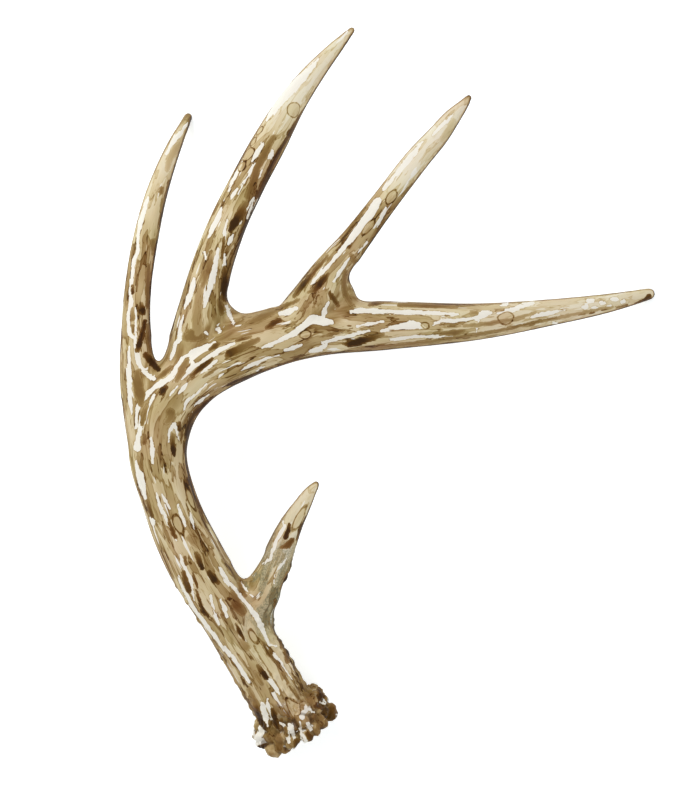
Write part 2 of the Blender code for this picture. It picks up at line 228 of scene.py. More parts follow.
# Bare white slivers on the upper side, each a run of points: x, y and half width.
SLIVERS = [
    [(-172.7, 30, 0.8), (-172.3, 8, 2), (-172, -6, 1.5), (-170.5, -15, 0.4)],
    [(-168, -24, 0.8), (-166.4, -9.7, 1.2), (-162, -3.5, 1.7), (-153.8, 4.1, 1.9),
     (-144.9, 9.2, 1.9), (-139.8, 16.9, 1.8), (-136, 22.7, 1.2), (-130.2, 26.4, 1.3),
     (-120, 30.7, 1.2), (-115, 33, 0.4)],
    [(-163, -24.7, 0.5), (-159, -9.7, 0.9), (-156, -2, 0.8)],
    [(-164.5, -22, 1.2), (-166.5, -31, 1.8), (-167, -37, 2.6)],
    [(-157.5, -31, 0.9), (-157, -40, 1.6), (-156.8, -47, 0.8)],
    [(-168, -46, 0.6), (-165.7, -54.6, 2.6), (-164, -62, 2.6), (-161.5, -71, 0.8)],
    [(-158, -83, 0.8), (-157, -86, 1.6), (-156, -91, 0.6)],
    [(-154.5, -67, 0.4), (-153, -72, 1.1), (-150.5, -80, 0.9)],
    [(-150.5, -68, 0.4), (-148, -72.5, 1.3), (-145.3, -78, 0.6)],
    [(-150.5, -77, 0.5), (-148, -84, 0.9), (-143, -95, 0.9), (-141.3, -99, 0.4)],
    [(-139.8, -75, 0.4), (-138, -81, 1), (-135.5, -89, 0.5)],
    [(-132.5, -80, 0.5), (-130.5, -86.5, 1.1), (-129.5, -91, 0.5)],
    [(-146.3, -33, 0.5), (-145.6, -26, 0.9), (-142.7, -21.3, 1.3), (-140.5, -26, 1),
     (-140, -32, 0.4)],
    [(-131.5, -2.5, 0.6), (-134, -6.5, 1.5), (-135.8, -11, 0.6)],
    [(-121, 5, 0.6), (-127, -0.5, 0.9), (-132, -5, 0.4)],
    [(-119.5, -2, 0.5), (-124.5, -5.5, 0.9), (-129.3, -9, 0.4)],
    [(-140.5, 3.5, 0.5), (-143.5, 0, 0.9), (-145.5, -3, 0.4)],
    [(-139, -0.5, 1), (-136.3, 2.5, 1.6), (-134, 5.5, 0.6)],
    [(-112.5, -117, 0.9), (-107.5, -126, 1.3), (-99.8, -135, 1.2), (-88.5, -149, 1.9),
     (-83.8, -159.3, 1.3), (-80, -168.2, 1), (-75.5, -170, 0.8)],
    [(-98.8, -128, 1), (-95, -132, 0.9), (-91, -136, 0.7)],
    [(-139, -108, 0.7), (-135.5, -117, 1.5), (-131.8, -126, 1.4), (-129.6, -139, 0.5)],
    [(-140, -122, 0.5), (-138, -128, 1.1), (-131, -142, 1.3), (-120.2, -157.3, 1.3),
     (-112.5, -167.5, 1.3), (-103.6, -177.1, 1.4), (-96.5, -188.5, 1.6), (-93, -193.5, 0.5)],
    [(-112, -138, 0.8), (-109.5, -143.5, 1.6), (-107.8, -149.5, 0.7)],
    [(-118.8, -135.5, 1.2), (-116.8, -144, 0.6), (-114.5, -151, 1.5), (-112.8, -155, 0.6)],
    [(-77, -174.5, 1), (-73.5, -178.5, 0.8), (-69.3, -184.8, 0.7), (-65, -192, 0.4)],
    [(-98.5, -161, 0.4), (-96.3, -165, 0.7), (-94.8, -168, 0.4)],
    [(-83, -190, 0.9), (-78.9, -192.6, 1.5), (-74, -199, 1.6), (-72.7, -202, 0.6)],
    [(-77.4, -201.2, 1.4), (-75, -205, 0.9), (-72, -209, 0.4)],
    [(-85, -206, 0.6), (-84, -210, 1.8), (-82.5, -217, 1.9), (-81.3, -223, 0.7)],
    [(-81.3, -205, 0.7), (-80.2, -211, 1.1), (-78.7, -219, 0.5)],
    [(-86, -225, 2.2), (-87.5, -230, 3), (-88.7, -236.5, 2)],
    [(-73, -220.5, 0.8), (-69, -225, 2), (-67, -233, 1.5)],
    [(-66, -222, 1.8), (-63.5, -229, 1.6), (-62.5, -234, 0.6)],
    [(-59.5, -220, 1), (-58.8, -227, 0.9), (-59, -232, 0.7)],
    [(-54, -221.5, 1.4), (-51.5, -225, 1.2)],
    [(-57.5, -228, 0.8), (-55.5, -233, 1.3)],
    [(-44.8, -206.5, 0.5), (-42.5, -208.5, 0.8)],
    [(-51, -213, 0.7), (-48.5, -213.5, 0.5)],
    [(-92.5, -203, 0.4), (-90, -208.5, 0.7), (-88, -213.5, 0.4)],
    [(-70.5, -86, 0.6), (-69.3, -89.5, 1.4), (-74.5, -98, 1.1), (-77.2, -105.7, 1.2),
     (-79, -111, 1.1), (-84, -114.5, 0.5)],
    [(-68.3, -110.5, 0.3), (-72, -115.5, 0.6), (-75.5, -120, 0.6), (-77, -127, 0.3)],
    [(-135.5, 180, 0.7), (-139, 174.5, 1.6), (-144.9, 167.3, 1.6), (-149, 158.5, 0.5)],
    [(-160.5, 130, 0.5), (-162.3, 124, 1.5), (-165, 114, 1.9), (-166.7, 107, 1.2), (-167, 92, 0.9),
     (-169.7, 88, 1.3), (-170.6, 78, 1.3), (-172, 66, 1), (-171.3, 60, 1.9), (-173.2, 52, 1),
     (-173, 43.6, 1.1), (-172, 38, 1.4), (-169, 36, 1), (-168, 28, 1.1), (-166.5, 20, 1.3),
     (-163.5, 14.5, 1.2), (-159.5, 10.8, 1.6), (-156, 8.5, 1.3)],
    [(-168.2, 56, 0.5), (-168.2, 42, 0.8), (-168.3, 32, 0.7)],
    [(-129.2, 75, 0.8), (-130, 70, 1.9), (-132.5, 62, 1.9), (-135.3, 55.5, 0.6)],
    [(-136.5, 50.5, 0.5), (-138.3, 43.5, 1.2), (-138.5, 35, 1.6), (-141.5, 32, 1.6),
     (-143, 26, 1.2), (-144.8, 21.5, 0.6)],
    [(-112.8, 94.5, 0.8), (-115, 86, 1.8), (-117.5, 74, 2.1), (-119.6, 66, 1.7), (-121.5, 59, 1.1),
     (-122.5, 55.5, 0.6)],
    [(-109.2, 91, 0.5), (-109.4, 84, 1.1), (-110, 77, 0.9)],
    [(-107.7, 56.8, 1), (-106, 51, 1.4), (-102.7, 45.5, 0.7)],
    [(-113.5, 41.5, 1.6), (-112, 40, 1.2)],
    [(-121.5, 39.7, 1.2), (-120.5, 38.5, 0.8)],
    [(-124.5, 12.5, 0.5), (-119.5, 16.5, 1.3), (-114, 21, 0.8)],
    [(-137, 8.5, 0.5), (-134, 12, 1.3), (-130.3, 16, 2), (-126, 18.5, 1), (-121.3, 21.4, 1.2),
     (-112.4, 27.7, 1.7), (-107, 30, 1.2), (-102.5, 32.3, 0.9)],
    [(-130.3, 16, 1.6), (-130.5, 22, 1.2), (-131.5, 26, 0.8)],
    [(-97.8, 14.5, 0.4), (-90, 18.5, 1.1), (-82, 21.8, 1.2), (-73, 24.5, 0.5)],
    [(-88, 14.2, 0.6), (-85.5, 15.5, 1), (-82.5, 17, 0.5)],
    [(-113, 9.5, 0.6), (-111.5, 10.8, 1), (-110, 12.3, 0.5)],
    [(-111, 121.5, 0.7), (-113.5, 115, 1.9), (-116.5, 109, 1.8), (-120, 102, 0.6)],
    [(-107.3, 116, 0.4), (-108.3, 111, 0.8), (-109.2, 105, 1.3), (-109.9, 98, 0.6)],
    [(-103.5, 104, 0.6), (-105, 101, 1.6), (-106.5, 98, 0.6)],
    [(-98.8, 113, 0.8), (-99.5, 111, 0.6)],
    [(-90, 128.5, 0.5), (-92, 121, 0.9), (-94.5, 115.5, 0.6)],
    [(-122.3, 92.5, 0.8), (-121, 88, 1.2)],
    [(-96.5, 155, 0.5), (-101, 145, 1.1), (-106, 134, 1), (-109.7, 126.5, 0.4)],
    [(-88.5, 152, 0.7), (-92.5, 146, 1), (-97, 138, 0.8), (-100.3, 131.5, 0.4)],
    [(-100.5, 134.5, 0.6), (-103, 131, 1.5), (-105.5, 127.5, 0.8)],
    [(-84, 165, 1), (-88, 158.5, 1.3), (-91, 153, 0.5)],
    [(-77.5, 160, 1), (-79, 156, 1.6)],
    [(-84.5, 147.5, 0.4), (-87, 142, 0.8)],
    [(-90, 135.5, 0.4), (-91.5, 132, 0.7)],
    [(-47, 221.5, 0.8), (-52, 215.5, 1.8), (-58, 209.5, 2.8), (-64, 203, 3.2), (-69.5, 197, 3.4),
     (-75, 190, 2.6), (-81, 181, 1)],
    [(-7.3, 127, 2.2), (-13, 118, 3.4), (-20.3, 108.5, 2.6), (-30.5, 94.7, 1.6),
     (-39.1, 85.3, 1.2), (-47, 77, 1.3), (-51.5, 71.5, 0.6)],
    [(-2, 122, 0.8), (-5, 116, 1.2), (-8, 109, 0.6)],
    [(-14.5, 99.5, 0.4), (-17, 96.5, 0.8), (-20.5, 92.7, 0.5)],
    [(-26.5, 89.5, 0.5), (-29, 85.5, 1), (-33, 79, 1.2), (-36.5, 73, 0.5)],
    [(-3, 135, 1.5), (3, 143, 1.4), (9, 150, 1.8), (17, 159, 1.6), (22, 166, 0.8)],
    [(29, 170.5, 0.6), (34, 176, 1.3), (39, 181, 1.3), (43, 185.5, 0.5)],
    [(-72.2, 51.8, 1.4), (-67, 53, 2.2), (-62, 55.5, 1.6)],
    [(-84, 29.5, 1), (-77, 32, 1.3), (-71, 34.7, 1.5), (-62, 39.5, 1.9), (-56, 44.5, 2)],
    [(-56, 45, 2), (-51, 48, 3.2), (-44, 47, 3), (-38.5, 46, 1.8)],
    [(-44, 48, 1.4), (-43, 54, 1.6), (-40.5, 59, 0.8)],
    [(-69, 27.5, 0.8), (-63.7, 29.2, 1.9), (-58.5, 31, 0.8)],
    [(-52.5, 27, 1), (-48, 28.2, 2), (-43.5, 30, 1.6), (-41, 32.5, 1)],
    [(-44, 32.3, 1), (-35, 35.3, 1.2), (-27.6, 36.9, 1.3), (-19, 39.5, 0.9), (-13, 40.5, 1)],
    [(-25, 53, 1.2), (-18, 54, 1.8), (-6, 53.2, 1.4), (7, 53, 1.5), (20, 52.5, 1.4), (33, 52, 1.5),
     (46, 51.5, 0.7)],
    [(-21.5, 43.5, 0.6), (-14, 45, 1), (-4, 46.5, 0.8)],
    [(-5, 40.7, 0.9), (5, 43, 1.6), (14, 44.5, 2.8), (20, 44, 2.2), (24, 42.5, 0.8)],
    [(1, 34.5, 0.6), (10, 36, 1.4), (20.7, 36.9, 1.2), (32, 37, 1.2), (42.5, 37.5, 0.8)],
    [(29, 44.5, 0.6), (34, 47, 1.4), (42, 47.6, 1.5), (50, 48.3, 1.2), (57, 48.8, 0.5)],
    [(58.5, 49, 1.8), (63, 52, 2.4), (68, 53, 1)],
    [(60.6, 51, 0.5), (59, 45, 0.4), (58, 38, 0.4)],
    [(72.5, 52.5, 0.7), (80, 54, 1.6), (88, 57, 1.8), (96.5, 59.5, 1)],
    [(75, 57.5, 0.8), (79, 58.5, 1.1)],
    [(95, 50, 0.6), (99, 51.5, 1.7), (104, 52, 1.3), (111, 53.5, 1.2), (118.5, 55, 0.5)],
    [(110, 46.5, 0.8), (112, 46.3, 0.8)],
    [(130, 57, 1.2), (132, 57.5, 1.5)],
    [(134, 61, 1.6), (136.5, 61, 1.4)],
    [(137, 56, 1.2), (139, 56.2, 1.3)],
    [(142, 60, 1.6), (144.5, 60, 1.2)],
    [(147, 57, 1.2), (149, 57.6, 1.1)],
    [(150, 62, 1.4), (153, 62.2, 1.2)],
    [(156, 60, 1.1), (158, 60.8, 1)],
]

# Washes laid on the upper side, each a run of points: x, y, half width and strength of colour.
WASHES = [
    [(-160.3, 84, 1.6, 0.62), (-160.3, 70, 1.9, 0.66), (-160.2, 57, 1.9, 0.7)],
    [(-164.8, 58.5, 1.3, 0.6), (-164, 54.5, 2.2, 0.98), (-163.5, 52, 1.4, 0.9)],
    [(-162.3, 47, 1.3, 0.9), (-163.5, 40, 1.5, 0.9), (-166, 31, 1.9, 0.98),
     (-167, 27.5, 1.6, 0.75)],
    [(-161.5, 24.5, 2, 0.8), (-157.5, 19.5, 2.3, 0.95), (-153, 14.8, 1.6, 1)],
    [(-160, 44, 1.6, 0.62), (-159.3, 36, 2.6, 0.68), (-158, 27, 2.4, 0.62)],
    [(-170.4, 70.5, 1, 0.7), (-170.3, 66, 1.2, 0.9)],
    [(-170.4, 55, 1.2, 0.5), (-170.3, 48.5, 1.6, 0.62)],
    [(-169.8, 44, 0.9, 0.66), (-169.9, 40, 1, 0.7)],
    [(-167, 13, 2, 0.6), (-166.6, 6, 3.4, 0.66), (-165, -2, 3.4, 0.66), (-164.5, -8, 2, 0.6)],
    [(-167, 82, 1, 0.5), (-168, 76, 1.2, 0.55), (-169, 72, 1, 0.5)],
    [(-151.5, 136, 1.2, 0.6), (-152.3, 133, 1.4, 0.62)],
    [(-151, 128, 1, 0.6), (-152, 121, 1.2, 0.6)],
    [(-147, 141, 0.8, 0.7), (-149.5, 128, 1.2, 0.72), (-152, 112, 1.4, 0.7),
     (-153.5, 97, 1.6, 0.66), (-156.5, 92, 1.5, 0.6)],
    [(-157, 100, 2.2, 0.62), (-156.5, 95, 2, 0.62)],
    [(-136.5, 172, 1, 0.38), (-142.5, 163, 2.4, 0.4), (-147, 155, 2.2, 0.38),
     (-148.5, 148, 1.4, 0.34)],
    [(-135, 175, 0.8, 0.6), (-137, 168, 1, 0.5)],
    [(-121.5, 84, 2, 0.55), (-122, 76, 2.2, 0.6), (-123.5, 70, 1.8, 0.55)],
    [(-125.5, 68, 2.2, 0.48), (-126.5, 58, 3, 0.5), (-127.5, 48, 3.4, 0.52), (-127, 39, 3.6, 0.5)],
    [(-134, 36, 2.4, 0.62), (-130, 37.5, 4.2, 0.64), (-126, 37, 3.4, 0.64)],
    [(-109, 82, 1.6, 0.72), (-108.7, 74, 2.4, 0.9), (-108.9, 68, 2.8, 1), (-109, 62, 1.8, 0.85)],
    [(-112.5, 61, 1.5, 0.7), (-111.5, 56, 2.4, 0.76), (-111, 52.5, 1.8, 0.7)],
    [(-95.5, 125, 2, 0.62), (-99, 118, 2.8, 0.8), (-102.5, 112, 2.7, 1), (-105.2, 107, 1.6, 0.9)],
    [(-66, 172, 1.2, 0.8), (-72, 162, 1.4, 0.9), (-78, 151.5, 1.6, 0.9), (-83.6, 138.5, 1.8, 0.86),
     (-87.5, 130, 1.6, 0.8)],
    [(-77, 169, 1.8, 0.6), (-83, 158, 2.6, 0.66), (-88, 148, 2.4, 0.64), (-90.5, 137, 2.8, 0.7),
     (-93.5, 129.5, 2.4, 0.66)],
    [(-109.5, 102, 0.9, 0.7), (-110, 96, 1.1, 0.8), (-111, 89, 1, 0.75)],
    [(-118, 92, 1.8, 0.45), (-119, 86, 2.4, 0.6), (-121, 80, 2.8, 0.66), (-123.5, 73.5, 2, 0.5)],
    [(-96.5, 108, 1.6, 0.55), (-100, 98, 2.2, 0.6), (-103, 88, 2.4, 0.62), (-105.5, 78, 2, 0.62)],
    [(-107.5, 131, 1.8, 0.42), (-107, 126, 2.2, 0.45)],
    [(-113.5, 124, 0.7, 0.62), (-116.5, 118, 0.9, 0.62)],
    [(-27.5, 235, 0.5, 0.5), (-34, 223, 0.8, 0.75), (-45.5, 203, 1, 0.72), (-56, 188.3, 1.2, 0.78),
     (-62, 179, 1.4, 0.8), (-67, 171, 1.6, 0.9)],
    [(-118.5, 28, 1.2, 0.7), (-115, 30.5, 2, 0.78), (-112.8, 32, 1, 0.7)],
    [(-131, 10.5, 1, 0.7), (-127, 14, 1.6, 0.85), (-121.5, 18.6, 1.7, 0.9), (-117, 21.9, 1, 0.8)],
    [(-107.5, 23.5, 1.4, 0.7), (-105.3, 25.5, 2.8, 0.85), (-100, 28, 2.8, 0.7),
     (-94, 31, 2.6, 0.64), (-87, 34.5, 1.8, 0.58)],
    [(-101, 33.5, 0.8, 0.7), (-97, 34.8, 1.2, 0.8), (-91.5, 37, 0.9, 0.6)],
    [(-98, 43, 1, 0.5), (-90, 46.5, 2.2, 0.6), (-83, 50, 2.6, 0.62), (-76, 53.5, 1.8, 0.58),
     (-67.5, 57.5, 1.5, 0.66), (-60, 60.8, 1, 0.6)],
    [(-81, 42.5, 1.2, 0.7), (-77, 45.3, 2, 0.85), (-72.5, 47.5, 1.4, 0.8)],
    [(-150.5, -1.5, 1.4, 0.9), (-149.5, 1, 2, 0.95), (-147.5, 3.5, 1.2, 0.85)],
    [(-153, 9, 1.2, 0.6), (-148.7, 12.5, 1.9, 0.66), (-144, 16, 1.4, 0.6)],
    [(-141, 7.5, 1.4, 0.55), (-137.5, 13.5, 2.6, 0.6), (-134, 20.5, 1.8, 0.58)],
    [(-123, 9.5, 0.8, 0.6), (-118.5, 13, 1.2, 0.62), (-114.5, 15.5, 0.8, 0.6)],
    [(-133.5, -33, 1.3, 0.8), (-134.3, -28, 1.8, 1), (-133.5, -22, 1.5, 0.9),
     (-130, -15, 1.8, 0.85), (-123, -9, 1.8, 0.9), (-116, -4.5, 1.6, 0.9), (-107, 0.5, 1.2, 0.85),
     (-95, 5, 1, 0.85), (-80, 10.5, 1, 0.75)],
    [(-144.7, -13.5, 3, 0.66), (-145, -17, 2.6, 0.6), (-147.5, -20, 2, 0.55)],
    [(-143.5, -28.5, 1.2, 0.6), (-143.6, -34, 2, 0.8), (-143.3, -38.5, 1.9, 1),
     (-142.5, -42, 0.8, 0.95)],
    [(-138.8, -20.5, 0.9, 0.8), (-139.2, -25, 1.1, 0.92)],
    [(-160.5, -9, 1.2, 0.55), (-162, -14.5, 1.7, 0.64), (-163.5, -21, 1.6, 0.64)],
    [(-161.8, -29, 1.1, 0.68), (-162.2, -33.5, 1.4, 0.72)],
    [(-166.5, -43.5, 0.9, 0.5), (-165.3, -48, 1.4, 0.6), (-164, -52, 0.9, 0.62)],
    [(-160.5, -72, 1.1, 0.66), (-159, -77.5, 1.8, 0.76), (-157.2, -82.5, 1.1, 0.8)],
    [(-146.5, -85, 0.9, 0.7), (-144.3, -90.5, 1.4, 0.8), (-141.8, -96.5, 1.1, 0.8)],
    [(-128.5, -70, 0.9, 0.7), (-126.3, -75.5, 1.5, 0.86), (-124.5, -80, 0.9, 0.8)],
    [(-133, -97, 2, 0.5), (-129, -99, 3, 0.55), (-126, -102, 2.4, 0.5)],
    [(-147.5, -43, 1.6, 0.5), (-147, -49, 2, 0.5)],
    [(-128, -107.5, 1.5, 0.7), (-126, -113, 2.2, 0.85), (-124.3, -117, 1.6, 0.98)],
    [(-119.5, -120, 1.8, 0.85), (-116, -125, 2.2, 0.95), (-113.5, -127, 1.2, 0.8)],
    [(-136.5, -120, 1.6, 0.72), (-134.7, -127, 2.4, 0.8), (-133, -132, 1.8, 0.84)],
    [(-130.5, -120.5, 0.6, 0.75), (-128.8, -125.5, 1, 0.85), (-127.3, -129.5, 0.6, 0.85)],
    [(-135.8, -110, 1, 0.7), (-134.8, -114.5, 1.2, 0.75)],
    [(-128, -131, 0.8, 0.7), (-126, -139.5, 1.2, 0.85), (-123.5, -146, 1.6, 0.92),
     (-120.5, -149.5, 0.7, 0.9)],
    [(-107.5, -137.8, 0.9, 0.85), (-104.5, -137.5, 1.3, 0.98), (-103.3, -134, 1, 0.9)],
    [(-104, -134, 2, 0.6), (-101.5, -142, 3.6, 0.72), (-97.5, -147, 2.4, 0.66)],
    [(-102, -154, 0.8, 0.85), (-99.3, -159.5, 1.3, 0.9), (-96.3, -165, 0.5, 0.9)],
    [(-100, -127.5, 1.2, 0.6), (-97.5, -132.5, 1.4, 0.68), (-95.5, -136, 0.9, 0.66)],
    [(-98, -166.5, 2, 0.5), (-95, -170, 2.6, 0.55)],
    [(-90.1, -168.7, 0.5, 0.62), (-86, -177, 0.5, 0.62), (-81.8, -182.9, 0.6, 0.66),
     (-78.5, -188.7, 0.5, 0.62), (-73.5, -197, 0.5, 0.66), (-70.1, -204.5, 0.6, 0.66),
     (-66, -208, 0.4, 0.6)],
    [(-86.3, -165.3, 0.4, 0.6), (-79.3, -174.5, 0.5, 0.62), (-74.3, -182, 0.6, 0.66),
     (-70.1, -188.7, 0.6, 0.68), (-66.8, -197, 0.6, 0.7), (-61, -203.7, 0.6, 0.7),
     (-57.5, -208, 0.4, 0.66)],
    [(-87.5, -182.5, 0.9, 0.7), (-84, -187, 2, 0.95), (-81.5, -190.8, 1.4, 0.95)],
    [(-89.5, -186.5, 1, 0.55), (-86.8, -191, 1.6, 0.6), (-84.5, -194.5, 1.2, 0.58)],
    [(-98.5, -190.5, 0.8, 0.8), (-96.3, -194, 1.1, 0.9), (-94, -197, 0.6, 0.9)],
    [(-75.7, -139, 1.4, 0.6), (-75.2, -148, 1.8, 0.72), (-75.3, -157, 1.6, 0.8),
     (-73.5, -164.5, 1.3, 0.86), (-71.5, -170, 1, 0.7)],
    [(-79.5, -171, 1, 0.72), (-78.8, -174, 1.5, 0.76)],
    [(-63.5, -111, 0.9, 0.6), (-67.5, -121, 1.3, 0.66), (-71.5, -131, 1.6, 0.7)],
    [(-71.5, -167, 1, 0.7), (-69, -174, 1.9, 0.76), (-67.5, -180, 1.5, 0.66)],
    [(-110.5, -112, 1.2, 0.55), (-105, -119, 2.4, 0.55), (-99, -123.5, 2.6, 0.55),
     (-92.5, -124.5, 2, 0.5)],
    [(-93.5, -198, 1.5, 0.55), (-89, -208, 2.2, 0.62), (-88, -214, 2.2, 0.9),
     (-85.5, -220, 2.4, 0.98), (-82.5, -224.5, 1.6, 0.9)],
    [(-77.8, -212, 1.3, 0.8), (-76.5, -218, 1.9, 0.98), (-74.3, -223.5, 1.6, 0.9)],
    [(-92, -237, 1, 0.7), (-90, -239.5, 1, 0.8), (-86, -238.5, 2.2, 1), (-82.5, -236, 1.5, 0.95)],
    [(-78, -226, 3.4, 0.6), (-74, -232, 3.4, 0.64), (-73.5, -238.5, 2.8, 0.72)],
    [(-69.5, -224.5, 1.6, 0.7), (-68.5, -229, 1.4, 0.66)],
    [(-61.5, -233, 2.2, 0.8), (-61, -236.5, 2.4, 0.9), (-62, -239.5, 1.4, 0.8)],
    [(-54, -228, 2, 0.8), (-51.5, -231, 2.2, 0.85), (-52.5, -234, 1.2, 0.8)],
    [(-47, -199, 1.6, 0.85), (-45.3, -203, 2.8, 0.95), (-42, -202, 1.4, 0.85)],
    [(-48, -209, 2, 0.85), (-44, -210.5, 2, 0.82)],
    [(-38.5, -206, 1.8, 0.6), (-37.5, -212, 3, 0.74), (-38.5, -218, 2.4, 0.85)],
    [(-46, -217, 3, 0.62), (-46, -224, 2.8, 0.68)],
    [(-60, -190, 2.4, 0.5), (-56.5, -196, 3.2, 0.58), (-53, -203, 3.4, 0.66), (-51, -208, 2, 0.6)],
    [(-60.5, -183, 1.6, 0.62), (-56, -190, 1.6, 0.66), (-51, -197, 1.5, 0.7)],
    [(-66.3, -88, 1, 0.85), (-67, -92, 1.5, 1), (-69, -97, 1.3, 0.98)],
    [(-71.5, -103.5, 1, 0.7), (-67.5, -102, 2.4, 0.72), (-64.5, -98.5, 1.6, 0.75)],
    [(-47.5, -71, 0.6, 0.7), (-53.3, -80, 0.8, 0.85), (-57, -87.5, 1.4, 0.9),
     (-59, -92.5, 2.2, 0.88), (-61.3, -98, 1, 0.75)],
    [(-53.5, 66, 1, 0.6), (-49.5, 67, 1.6, 0.75), (-46.5, 71, 2.2, 0.92), (-43, 75.5, 1.8, 0.85),
     (-40.5, 78.5, 1, 0.7)],
    [(-63, 63, 1.2, 0.66), (-56.8, 71, 2, 0.9), (-52, 77, 1.4, 0.75), (-46, 84, 1.6, 0.68),
     (-41, 90, 1.2, 0.6)],
    [(-39.5, 65.5, 1.4, 0.75), (-37.3, 62, 1.6, 0.8), (-34, 57.5, 1.2, 0.75)],
    [(-47.5, 63.5, 0.6, 0.8), (-46.5, 64, 0.6, 0.8)],
    [(-29.5, 80, 1.4, 0.6), (-30.5, 72, 1.9, 0.62), (-29, 64.5, 2, 0.66), (-25.5, 58.5, 1.6, 0.6)],
    [(-13, 57.5, 1, 0.66), (-9, 58.7, 1.6, 0.8), (-4.5, 59.2, 1, 0.66)],
    [(-30, 32, 1, 0.7), (-27, 31.8, 2, 0.9), (-20.3, 33.3, 2.4, 1), (-12, 35.8, 2, 0.8),
     (-4, 38.2, 1.2, 0.6)],
    [(-44, 37, 0.7, 0.6), (-37.7, 38.3, 1, 0.7), (-30, 41, 0.7, 0.6)],
    [(-24, 88, 1.8, 0.6), (-22, 86, 2.2, 0.62), (-25.5, 91, 1.2, 0.55)],
    [(-2.5, 113.5, 1.2, 0.55), (-10, 101, 1.4, 0.6), (-15.5, 91, 1.2, 0.62)],
    [(-32, 103, 1.2, 0.55), (-24.7, 111.3, 1.8, 0.62), (-15, 124, 1.2, 0.5)],
    [(46, 178, 0.7, 0.5), (36, 164, 0.8, 0.55), (26, 150, 1.1, 0.68), (16, 138, 1.3, 0.76),
     (9, 130.5, 1, 0.66)],
    [(43, 181, 1.4, 0.26), (39.8, 174, 2.8, 0.3), (35.5, 168, 2, 0.28)],
    [(7, 57.7, 1.5, 0.62), (27, 57.3, 1.6, 0.7), (45, 56.8, 1.2, 0.6)],
    [(30, 39, 1, 0.6), (37, 39, 1.6, 0.62), (43.8, 39.3, 2, 0.66), (49, 40.5, 1.4, 0.6)],
    [(55, 52.5, 1.6, 0.5), (58.5, 52.5, 1.2, 0.55)],
    [(82, 60, 1, 0.6), (88, 60.3, 0.9, 0.6)],
    # This run is painted shade: a dark band along the lower edge of the beam.
    [(-60, 18.5, 1.4, 0.6), (-40, 24, 1.6, 0.6), (-20, 27.5, 1.4, 0.58), (5, 31, 1.4, 0.6),
     (30, 34, 1.3, 0.6), (60, 38.5, 1.2, 0.6), (90, 44.5, 1.1, 0.55), (120, 51, 1, 0.5)],
    [(166, 59.5, 0.9, 0.75), (171, 61.5, 1.4, 0.88), (175, 64.5, 1.5, 0.85)],
    [(127, 52, 0.7, 0.6), (131, 52.6, 0.6, 0.66)],
    [(135, 53.2, 0.8, 0.72), (137.5, 53.8, 0.6, 0.72)],
    [(143, 55, 0.7, 0.75), (146, 55.8, 0.6, 0.72)],
    [(152, 57, 0.5, 0.6), (160, 58.5, 0.7, 0.7)],
    [(78, 42, 1.1, 0.62), (96, 46, 1.3, 0.66), (112, 49.5, 1, 0.6)],
    [(50, 44, 1, 0.5), (66, 45.5, 1.5, 0.56), (84, 48.5, 1.3, 0.52), (98, 53, 0.8, 0.46)],
    [(62, 58, 0.8, 0.55), (72, 60, 1, 0.62), (84, 62.3, 0.7, 0.6)],
    [(118, 51, 0.9, 0.45), (134, 54, 1, 0.5), (150, 57, 0.8, 0.48)],
]

# Pale ovals with a dark rim where a wash dried: x, y, half length along the grain, half width.
DRIED_OVALS = [
    (-140, -88, 7, 2.6),
    (-131.5, -72, 9, 2.2),
    (-90.5, -163.5, 5.5, 2.6),
    (-62, -212.5, 12, 5),
    (-13.9, 109.2, 6.5, 2.4),
    (2, 129, 5, 3),
    (-63.5, 188, 5, 4.6),
    (-93.7, 158, 5, 4),
    (-97.5, 149.5, 3.4, 2.4),
    (-90.5, 166, 3.6, 2.6),
    (-86, 173.5, 3.4, 2.6),
    (-59.6, -84.7, 10, 2.5),
    (-55.5, 37.7, 3.5, 3),
    (78, 49.3, 5.5, 4.2),
    (23.9, 43.7, 3, 2.2),
]

# A mark is stored as 0.5 at its edge, and runs from 0 to 1 over this distance to either side.
EDGE = 0.5
MARK_REACH = 1.5

# Only points whose normals rise past these heights take the marks of the upper side, and an
# oval's middle is looked for where they rise past this one.
ABOVE = (-0.15, 0.15)
WELL_ABOVE = 0.2
OUT_OF_THE_WAY = 1e6

# The burr's knobs end over these distances along the beam, the clefts between them reach this
# far, and the face inside them ends at this distance from its middle and height above it.
BURR_END = (12, 30)
CREVICE_REACH = 2.6
SEAL_EDGE = (12.5, 16)
SEAL_HEIGHT = 4

# The side that lies away from the light in the picture, and how far round it the shade starts.
SHADED_SIDE = (0.86, -0.4, -0.3)
SHADE = (-0.1, 0.95)

# Waves of the relief along the grain and across it, then the sizes of the burr's crags.
CHANNELS = (70, 6.5, 6.5)
RIDGES = (34, 3.2, 3.2)
WRINKLES = (16, 1.5, 1.5)
CRAGS = (5, 5, 5)
GRIT = (2.2, 2.2, 2.2)

# The share of the relief that the polished tips and the forks lack, and how much the channels,
# the ridges and the pearls count in how deep a point lies in a hollow.
POLISHED = 0.85
FORK_POLISHED = 0.9
HOLLOW_SHARES = (0.55, 0.3, 0.5)

# Pearls: their number, radii and stretch along the grain, where along the beam they start, where
# they thin out, and how they gather on one side.
PEARL_COUNT = 260
PEARL_RADII = (1.1, 2.4)
PEARL_STRETCH = 1.5
PEARL_START = 16
PEARL_END = (25, 150)
PEARL_SIDE = (-12, 14)

# How far the brow tine's grey-green runs down into the beam.
BROW_SPREAD = 1.5

# The dark outline, painted shade along the sides, fades over this distance in from the edge that is
# seen from above.
OUTLINE = (0.2, 1.1)

# What the bone's material reads from each point of the skin.
MARKS = (
    "pale", "fork", "burr", "hollow", "shade", "above", "edge", "sliver", "wash", "strength",
    "oval", "lichen", "knob", "crevice", "seal",
)
EASED = {"interpolation_type": "SMOOTHSTEP"}
